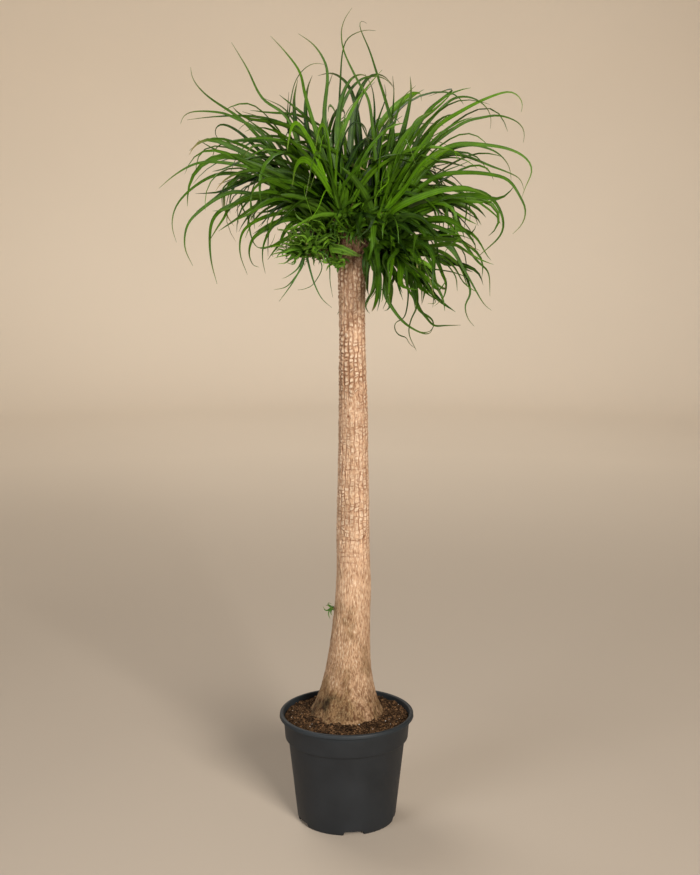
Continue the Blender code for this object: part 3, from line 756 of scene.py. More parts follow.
@dataclass
class Finishes:
    """Every material of the plant, built once."""

    effects: SharedEffects = field(default_factory=SharedEffects)

    def __post_init__(self) -> None:
        """Builds the materials from their colours."""
        fx = self.effects
        self.pot = PlasticFinish(
            dark=(0.0095, 0.0112, 0.0132),
            light=(0.0139, 0.0162, 0.0189),
            # The lip colour is a painted bluish highlight.
            lip=(0.0138, 0.0186, 0.0228),
            lip_z=(0.229, 0.240),
            dust=(0.06, 0.05, 0.04),
            roughness=(0.50, 0.64),
        ).build("pot_plastic", fx)
        self.bark = BarkFinish(
            plate=(0.515, 0.326, 0.200),
            warm=(0.685, 0.457, 0.295),
            pale=(0.870, 0.725, 0.555),
            fleck=(0.320, 0.182, 0.105),
            crack=(0.190, 0.082, 0.040),
            # This tint also carries the painted shade on the trunk's left side.
            stain_and_shade=(0.40, 0.37, 0.28),
            moss=(0.20, 0.21, 0.17),
        ).build("bark", fx)
        self.neck_bark = BarkFinish(
            plate=(0.26, 0.130, 0.080),
            warm=(0.40, 0.215, 0.135),
            pale=(0.60, 0.40, 0.28),
            fleck=(0.17, 0.080, 0.046),
            crack=(0.050, 0.021, 0.011),
            stain_and_shade=(0.05, 0.04, 0.03),
            moss=(0.5, 0.5, 0.5),
        ).build("neck_bark", fx)
        self.soil = SoilFinish(
            dark=(0.0060, 0.0031, 0.0015),
            light=(0.215, 0.115, 0.055),
            fibre=(0.50, 0.31, 0.17),
        ).build("soil", fx)
        self.speck = StoneFinish(light=(0.80, 0.76, 0.70), dark=(0.48, 0.42, 0.36)).build("soil_specks", fx)
        self.leaves = {
            # The fifth colour of each leaf finish is its grey bloom, partly a painted sheen.
            Hue.GROWN: LeafFinish(
                (0.0028, 0.0145, 0.0007), (0.130, 0.300, 0.0070), (0.17, 0.30, 0.04), (0.28, 0.21, 0.09),
                (0.075, 0.130, 0.036), 0.40,
            ).build("leaf", fx),
            Hue.YOUNG: LeafFinish(
                (0.016, 0.062, 0.0045), (0.190, 0.380, 0.022), (0.28, 0.40, 0.09), (0.36, 0.25, 0.11),
                (0.150, 0.260, 0.070), 0.45,
            ).build("young_leaf", fx),
            Hue.DRY: LeafFinish(
                (0.070, 0.032, 0.018), (0.36, 0.20, 0.12), (0.15, 0.075, 0.045), (0.06, 0.030, 0.018),
                (0.10, 0.06, 0.04), 0.85,
            ).build("dry_scale", fx),
        }


@dataclass
class NurseryPot:
    """The round moulded pot: turned-down lip, collar, tapered body and a foot ring with drainage notches."""

    height: float = 0.250
    rim_radius: float = 0.1515
    lip_height: float = 0.009
    collar_top_radius: float = 0.1430
    collar_foot_radius: float = 0.1387
    collar_foot_z: float = 0.192
    body_top_radius: float = 0.1320
    base_radius: float = 0.1120
    wall: float = 0.0025
    floor_underside_z: float = 0.0095
    foot_ring_width: float = 0.011
    notches: int = 5
    first_notch: float = math.radians(-81.4)
    notch_width: float = 0.050
    notch_top_width: float = 0.040
    notch_height: float = 0.0095
    warp: float = 0.0005
    hub: float = 0.002
    longest_step: float = 0.006
    columns: int = 360

    def profile(self) -> np.ndarray:
        """The wall's outline from the middle of the floor up the inside, over the lip and down the outside.

        Returns:
            Rows of radius and height.
        """
        wall, rim, base, body = self.wall, self.rim_radius, self.base_radius, self.body_top_radius
        collar, collar_foot, step_z = self.collar_top_radius, self.collar_foot_radius, self.collar_foot_z
        top, under_lip, floor = self.height, self.height - self.wall - 0.001, self.floor_underside_z
        lip_foot = self.height - self.lip_height
        corners = [
            (self.hub, floor + wall, 0.0),
            (base - wall + 0.001, floor + wall, 0.004),
            (body - wall, step_z + wall, 0.003),
            (collar_foot - wall, step_z + wall, 0.002),
            (collar - wall - 0.0006, top - 0.012, 0.004),
            (collar - 0.0006, top - 0.0014, 0.0014),
            (collar + 0.0012, top, 0.0014),
            (rim - 0.001, top - 0.0002, 0.0038),
            (rim, lip_foot, 0.0016),
            (rim - wall, lip_foot, 0.0008),
            (rim - wall - 0.0015, under_lip, 0.001),
            (collar, under_lip, 0.001),
            (collar_foot, step_z, 0.0022),
            (body, step_z, 0.0014),
            (base, 0.005, 0.004),
            (base - 0.002, 0.0, 0.0015),
            (base - self.foot_ring_width, 0.0, 0.0015),
            (base - self.foot_ring_width - 0.001, floor, 0.001),
            (self.hub, floor, 0.0),
        ]
        return refined(rounded_profile(corners), self.longest_step)

    def notch(self, angle: np.ndarray) -> np.ndarray:
        """How high the foot is cut at an angle: a flat top with sloping sides, repeated round the pot.

        Args:
            angle: Angles about the axis.

        Returns:
            The height of the cut.
        """
        step = math.tau / self.notches
        away = np.abs((angle - self.first_notch + step / 2) % step - step / 2) * self.base_radius
        rise = (self.notch_width / 2 - away) / ((self.notch_width - self.notch_top_width) / 2)
        return self.notch_height * smoothstep(rise)

    def build(self, finishes: Finishes) -> bpy.types.Object:
        """Makes the pot: the turned wall with its notches cut, pulled very slightly oval towards the top.

        Args:
            finishes: The materials.

        Returns:
            The pot's object.
        """
        rings = turned_rings(self.profile(), self.columns)
        angle = np.arctan2(rings[..., 1], rings[..., 0])
        z = rings[..., 2]
        rings[..., 2] = np.maximum(z, np.where(z < self.notch_height, self.notch(angle), 0.0))
        warp = self.warp * np.sin(2 * angle + 0.6) * smoothstep(z, 0.05, self.height)
        rings[..., :2] *= 1 + (warp / np.maximum(np.hypot(rings[..., 0], rings[..., 1]), 0.05))[..., None]
        poles = np.array([(0.0, 0.0, self.floor_underside_z + self.wall), (0.0, 0.0, self.floor_underside_z)])
        points, faces = closed_tube(rings[:, ::-1], poles)
        pot = Surface(points, faces).piece("nursery_pot", finishes.pot)
        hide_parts("pot")
        return pot


@dataclass
class Soil:
    """The soil: a lumpy heap with loose crumbs, bark chips and white specks lying on it.

    The hole for the trunk and the heap's sides are given by places, each a radius and a height.
    """

    wall_z: float = 0.239
    trunk_z: float = 0.2455
    hole_radius: float = 0.0790
    outer_radius: float = 0.1400
    floor_z: float = 0.0124
    floor_radius: float = 0.108
    sides: tuple[Span, ...] = ((0.1355, 0.196), (0.1293, 0.194), (0.1108, 0.020))
    hole_floor_z: float = 0.164
    hole_floor_radius: float = 0.060
    hole_side: Span = (0.066, 0.185)
    hub: float = 0.004
    clod_size: float = 0.019
    clod_height: float = 0.0026
    crumb_size: float = 0.0062
    crumb_height: float = 0.0022
    collar_height: float = 0.004
    collar_radii: Span = (0.094, 0.082)
    columns: int = 300
    rings_on_top: int = 54
    crumbs: int = 6200
    chips: int = 420
    specks: int = 60
    seed: int = 41

    def surface_z(self, x: np.ndarray, y: np.ndarray) -> np.ndarray:
        """The height of the soil: a gentle cone from trunk to wall, clods and crumbs, heaped up at the trunk.

        Args:
            x: Distances to the right.
            y: Distances back.

        Returns:
            Heights.
        """
        radius = np.hypot(x, y)
        share = np.clip((radius - self.hole_radius) / (self.outer_radius - self.hole_radius), 0.0, 1.0)
        spot = np.stack([x, y, 0.0 * x], axis=-1)
        clods = self.clod_height * layered_noise(spot, self.clod_size, self.seed, 2)
        crumbs = self.crumb_height * layered_noise(spot, self.crumb_size, self.seed + 5, 3)
        edge = smoothstep(share, 1.0, 0.9)
        heaped = self.collar_height * smoothstep(radius, *self.collar_radii)
        cone = self.trunk_z + (self.wall_z - self.trunk_z) * share
        return cone + heaped + (clods + crumbs) * (0.35 + 0.65 * edge)

    def build(self, finishes: Finishes) -> list[bpy.types.Object]:
        """Makes the heap and what lies on it.

        Args:
            finishes: The materials.

        Returns:
            The objects.
        """
        rng = np.random.default_rng(self.seed)
        heap = self._heap(finishes)
        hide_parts("soil")
        made = [heap]
        for name, count, size, stretch, tones, material in (
            ("soil_crumbs", self.crumbs, (0.0009, 0.0034), (1.0, 1.7), (0.0, 1.0), finishes.soil),
            ("soil_chips", self.chips, (0.0009, 0.0020), (1.8, 4.0), (0.5, 1.0), finishes.soil),
            ("soil_specks", self.specks, (0.0010, 0.0019), (1.0, 1.4), (0.0, 1.0), finishes.speck),
        ):
            made.append(self._scatter(rng, count, size, stretch, tones).piece(name, material, 75.0))
        return made

    def _heap(self, finishes: Finishes) -> bpy.types.Object:
        """The heap as one closed body: up out of the trunk's hole, over the top, down the wall and under.

        Args:
            finishes: The materials.

        Returns:
            The object.
        """
        radius = np.linspace(self.hole_radius, self.outer_radius, self.rings_on_top)
        top = np.column_stack([radius, 0.0 * radius])
        hole = [(self.hub, self.hole_floor_z), (self.hole_floor_radius, self.hole_floor_z), self.hole_side]
        outside = [*self.sides, (self.floor_radius, self.floor_z), (self.hub, self.floor_z)]
        rings = turned_rings(np.vstack([hole, top, outside]), self.columns)
        on_top = slice(len(hole), len(hole) + self.rings_on_top)
        rings[on_top, :, 2] = self.surface_z(rings[on_top, :, 0], rings[on_top, :, 1])
        poles = np.array([(0.0, 0.0, self.hole_floor_z), (0.0, 0.0, self.floor_z)])
        points, faces = closed_tube(rings[:, ::-1], poles)
        tone = 0.04 + 0.18 * value_noise(points, 0.009, self.seed + 9)
        tone -= 0.25 * smoothstep(np.hypot(points[:, 0], points[:, 1]), 0.104, 0.088)
        heap = Surface(points, faces, values={"tone": np.clip(tone, 0, 1)})
        return heap.piece("soil_heap", finishes.soil, 80.0)

    def _scatter(
        self, rng: np.random.Generator, count: int, size: Span, stretch: Span, tones: Span
    ) -> Surface:
        """Small lumps lying on the heap: icosahedra with their corners pulled about, stretched and turned.

        Args:
            rng: The random numbers.
            count: The number of lumps.
            size: The smallest and largest radius.
            stretch: The least and most that a lump is longer than wide.
            tones: The darkest and lightest stored tone.

        Returns:
            All lumps as one surface.
        """
        corners, triangles = icosahedron()
        radius = np.sqrt(rng.uniform(self.hole_radius**2, (self.outer_radius - 0.002) ** 2, count))
        angle = rng.uniform(0, math.tau, count)
        scale = size[0] + (size[1] - size[0]) * rng.random(count) ** 2
        lumps = corners[None] * rng.uniform(0.65, 1.2, (count, len(corners), 1))
        lumps[..., 0] *= rng.uniform(*stretch, count)[:, None]
        lumps[..., 2] *= rng.uniform(0.55, 0.9, count)[:, None]
        turn, tilt = rng.uniform(0, math.tau, count), rng.uniform(-0.5, 0.5, count)
        x = lumps[..., 0] * np.cos(tilt)[:, None] + lumps[..., 2] * np.sin(tilt)[:, None]
        z = lumps[..., 2] * np.cos(tilt)[:, None] - lumps[..., 0] * np.sin(tilt)[:, None]
        cosine, sine = np.cos(turn)[:, None], np.sin(turn)[:, None]
        lumps = np.stack([x * cosine - lumps[..., 1] * sine, x * sine + lumps[..., 1] * cosine, z], axis=-1)
        centre_x, centre_y = radius * np.cos(angle), radius * np.sin(angle)
        centre = np.stack([centre_x, centre_y, self.surface_z(centre_x, centre_y) + 0.25 * scale], axis=-1)
        points = (centre[:, None] + lumps * scale[:, None, None]).reshape(-1, 3)
        faces = (triangles[None] + np.arange(count)[:, None, None] * len(corners)).reshape(-1, 3)
        tone = np.repeat(tones[0] + (tones[1] - tones[0]) * rng.random(count) ** 3.0, len(corners))
        return Surface(points, [faces], values={"tone": tone})


def icosahedron() -> tuple[np.ndarray, np.ndarray]:
    """Twelve corners of radius 1, from the golden ratio, and the twenty triangles, which are its hull.

    Returns:
        The corners and the triangles, facing out.
    """
    golden = (1 + math.sqrt(5)) / 2
    signs = np.array([(a, b) for a in (-1, 1) for b in (-golden, golden)])
    flat = np.column_stack([np.zeros(4), signs])
    corners = unit(np.vstack([flat, flat[:, [2, 0, 1]], flat[:, [1, 2, 0]]]))
    gap = np.linalg.norm(corners[:, None] - corners[None], axis=-1)
    near = gap < 1.1
    a, b, c = np.nonzero(near[:, :, None] & near[None, :, :] & near[:, None, :])
    triangles = np.column_stack([a, b, c])[(a < b) & (b < c)]
    p, q, r = (corners[triangles[:, k]] for k in range(3))
    inwards = np.sum(np.cross(q - p, r - p) * (p + q + r), axis=1) < 0
    triangles[inwards] = triangles[inwards][:, ::-1]
    return corners, triangles


@dataclass
class BladeSet:
    """Leaf blades as arrays: their routes, widths, turns about themselves, tones and dryness.

    The shares are those of the length at which a route has its points, and the taper sets how late a blade
    narrows.
    """

    routes: np.ndarray
    widths: np.ndarray
    turns: np.ndarray
    tones: np.ndarray
    dry: np.ndarray
    shares: np.ndarray
    taper: float = 2.7
    channel: float = 0.40
    thickness: float = 0.0007
    thread: float = 0.00034

    def surface(self) -> Surface:
        """All blades as closed thin V-shaped strips that narrow to a thread.

        Half the width at share s of the length is the blade's half width, times a rise from 0.6 to 1 over the
        first sixth, times 1 - s^taper, plus the thread that is left at the tip. The side direction starts
        level and turns about the blade by its turn. The edges stand above the middle line by the channel's
        share of the half width.

        Returns:
            The surface, with UV (across, along) and the values tone, dry and under.
        """
        count, stations = self.routes.shape[:2]
        reach = self.routes[:, -1] - self.routes[:, 0]
        lead = np.stack([-reach[:, 1], reach[:, 0], np.full(count, 1e-6)], axis=-1)
        along, side, above = frames_along(self.routes, unit(lead)[:, None])
        turn = self.turns[:, :1] + (self.turns[:, 1:] - self.turns[:, :1]) * self.shares
        cosine, sine = np.cos(turn)[..., None], np.sin(turn)[..., None]
        side, above = side * cosine + above * sine, above * cosine - side * sine
        swell = 0.6 + 0.4 * smoothstep(self.shares, 0.0, 0.16)
        half = self.widths[:, None] / 2 * swell * (1 - self.shares**self.taper) + self.thread
        half = half[..., None]
        lift = self.channel * half
        thick = np.minimum(self.thickness, half)
        rings = np.stack(
            [
                self.routes + side * half + above * lift,
                self.routes,
                self.routes - side * half + above * lift,
                self.routes - above * thick,
            ],
            axis=2,
        )
        first, last = self.routes[:, 0] - along[:, 0] * 0.001, self.routes[:, -1] + along[:, -1] * 0.002
        poles = np.stack([first, last], axis=1)
        points = np.concatenate([rings.reshape(count, -1, 3), poles], axis=1)
        per_blade = points.shape[1]
        _, (quads, triangles) = closed_tube(rings[0], poles[0])
        starts = np.arange(count)[:, None, None] * per_blade
        faces = [(quads + starts).reshape(-1, 4), (triangles + starts).reshape(-1, 3)]
        across = np.append(np.tile([0.0, 0.5, 1.0, 0.5], stations), [0.5, 0.5])
        length = np.append(np.repeat(self.shares, 4), [0.0, 1.0])
        uv = np.tile(np.column_stack([across, length]), (count, 1))
        dry = smoothstep(length[None], 1.0, 1.6) + self.dry[:, None] * smoothstep(length[None], 0.80, 0.98)
        below = np.append(np.tile([0.5, 0.0, 0.5, 1.0], stations), [0.5, 0.5])
        return Surface(
            points.reshape(-1, 3),
            faces,
            uv,
            {
                "tone": np.repeat(self.tones, per_blade),
                "dry": np.clip(dry, 0, 1).ravel(),
                "under": np.tile(below, count),
            },
        )

    @staticmethod
    def joined(sets: Sequence["BladeSet"]) -> "BladeSet":
        """One set that holds the blades of several, which share their stations.

        Args:
            sets: The sets.

        Returns:
            The joined set.
        """
        first = sets[0]
        names = ("routes", "widths", "turns", "tones", "dry")
        arrays = [np.concatenate([getattr(s, name) for s in sets]) for name in names]
        return BladeSet(*arrays, first.shares)


@dataclass(frozen=True)
class Head:
    """One head of leaves: where it grows, how it points, and the ranges that its leaves are drawn from.

    Angles are in degrees. The polar range is how far leaves lean off the axis, the lift is the least rise
    above the level with which a leaf starts, and the ending is the range of the rise at its tip. The drop is
    how far the head's leaves may hang below the crown's middle, where 0 sets no limit. The wave is how much
    they waver, the rooting how far down the core they start, and paler how much lighter the inner ones are.
    """

    name: str
    base: Vec
    axis: Vec
    core_radius: float
    core_length: float
    leaves: int
    lengths: Span
    polar: Span
    width: float
    lift: float
    ending: Span
    drop: float
    wave: float
    rooting: float
    seed: int
    hue: Hue = Hue.GROWN
    paler: float = 0.20


HEADS = (
    Head("head_middle", (-0.006, -0.034, 1.338), (-0.15, -0.35, 0.92), 0.019, 0.040,
         66, (0.22, 0.44), (2, 84), 0.0182, 28, (-110, -30), 0.100, 8, 0.5, 111),
    Head("head_left", (-0.058, 0.000, 1.330), (-0.50, 0.00, 0.86), 0.019, 0.042,
         42, (0.24, 0.48), (3, 88), 0.0155, 26, (-110, -35), 0.090, 8, 0.5, 112),
    Head("head_right", (0.064, -0.016, 1.318), (0.42, -0.12, 0.88), 0.020, 0.044,
         70, (0.24, 0.48), (3, 94), 0.0172, 14, (-115, -45), 0.150, 8, 0.5, 113),
    Head("head_back", (0.020, 0.052, 1.335), (0.05, 0.38, 0.92), 0.020, 0.042,
         54, (0.24, 0.46), (3, 92), 0.0165, 20, (-112, -40), 0.115, 8, 0.5, 114),
    Head("head_low_left", (-0.078, -0.034, 1.291), (-0.50, -0.80, 0.20), 0.014, 0.028,
         150, (0.04, 0.095), (8, 150), 0.0080, -30, (-160, 60), 0.155, 62, 1.3, 115, Hue.YOUNG, 0.34),
    Head("head_low_right", (0.088, -0.040, 1.288), (0.66, -0.62, -0.10), 0.015, 0.030,
         84, (0.10, 0.30), (8, 115), 0.0152, -55, (-130, -55), 0.270, 34, 1.4, 116),
    Head("head_low_back", (-0.012, 0.082, 1.290), (-0.15, 0.90, 0.20), 0.016, 0.032,
         42, (0.12, 0.28), (8, 110), 0.0150, -20, (-120, -40), 0.150, 26, 1.0, 117),
)

NECK_TUFTS = (
    Head("head_low_left", (-0.036, -0.016, 1.300), (-0.70, -0.60, 0.25), 0.008, 0.014,
         40, (0.04, 0.09), (5, 120), 0.0080, -30, (-130, 20), 0.14, 50, 0.6, 118, Hue.YOUNG, 0.34),
    Head("head_low_right", (0.050, -0.020, 1.300), (0.60, -0.70, -0.20), 0.009, 0.016,
         36, (0.06, 0.16), (5, 110), 0.0150, -60, (-110, -60), 0.23, 30, 0.6, 119),
    Head("head_middle", (0.002, -0.045, 1.350), (0.05, -0.95, -0.10), 0.010, 0.016,
         64, (0.03, 0.085), (5, 120), 0.0085, -60, (-140, 40), 0.085, 60, 0.8, 123, Hue.GROWN, 0.35),
    Head("head_left", (-0.050, -0.030, 1.335), (-0.30, -0.90, -0.05), 0.010, 0.016,
         44, (0.03, 0.090), (5, 120), 0.0095, -60, (-140, 40), 0.090, 50, 0.8, 124, Hue.GROWN, 0.30),
    Head("head_low_back", (0.004, 0.034, 1.300), (0.00, 0.90, 0.20), 0.009, 0.016,
         20, (0.06, 0.14), (5, 110), 0.0140, -30, (-125, -40), 0.15, 26, 0.6, 120),
)

SHOOTS = (
    Head("trunk_sprout", (-0.0275, -0.004, 0.492), (-1.0, -0.15, 0.15), 0.0030, 0.004,
         10, (0.006, 0.013), (15, 110), 0.0036, -60, (-150, 90), 0.0, 60, 1.0, 121, Hue.YOUNG, 0.05),
    Head("neck_shoot", (-0.014, -0.033, 1.262), (-0.45, -0.85, 0.25), 0.007, 0.014,
         10, (0.018, 0.034), (10, 105), 0.0080, -40, (-100, 10), 0.0, 20, 0.3, 122, Hue.YOUNG, 0.50),
)


@dataclass(frozen=True)
class LongLeaf:
    """A long leaf that the front view shows: its tip's depth, its width, its tone from 0 to 1 and its route.

    Lengths are in millimetres. The route is the places that the leaf passes after its root, as right, up,
    right, up and so on.
    """

    depth: float
    width: float
    tone: float
    route: tuple[float, ...]


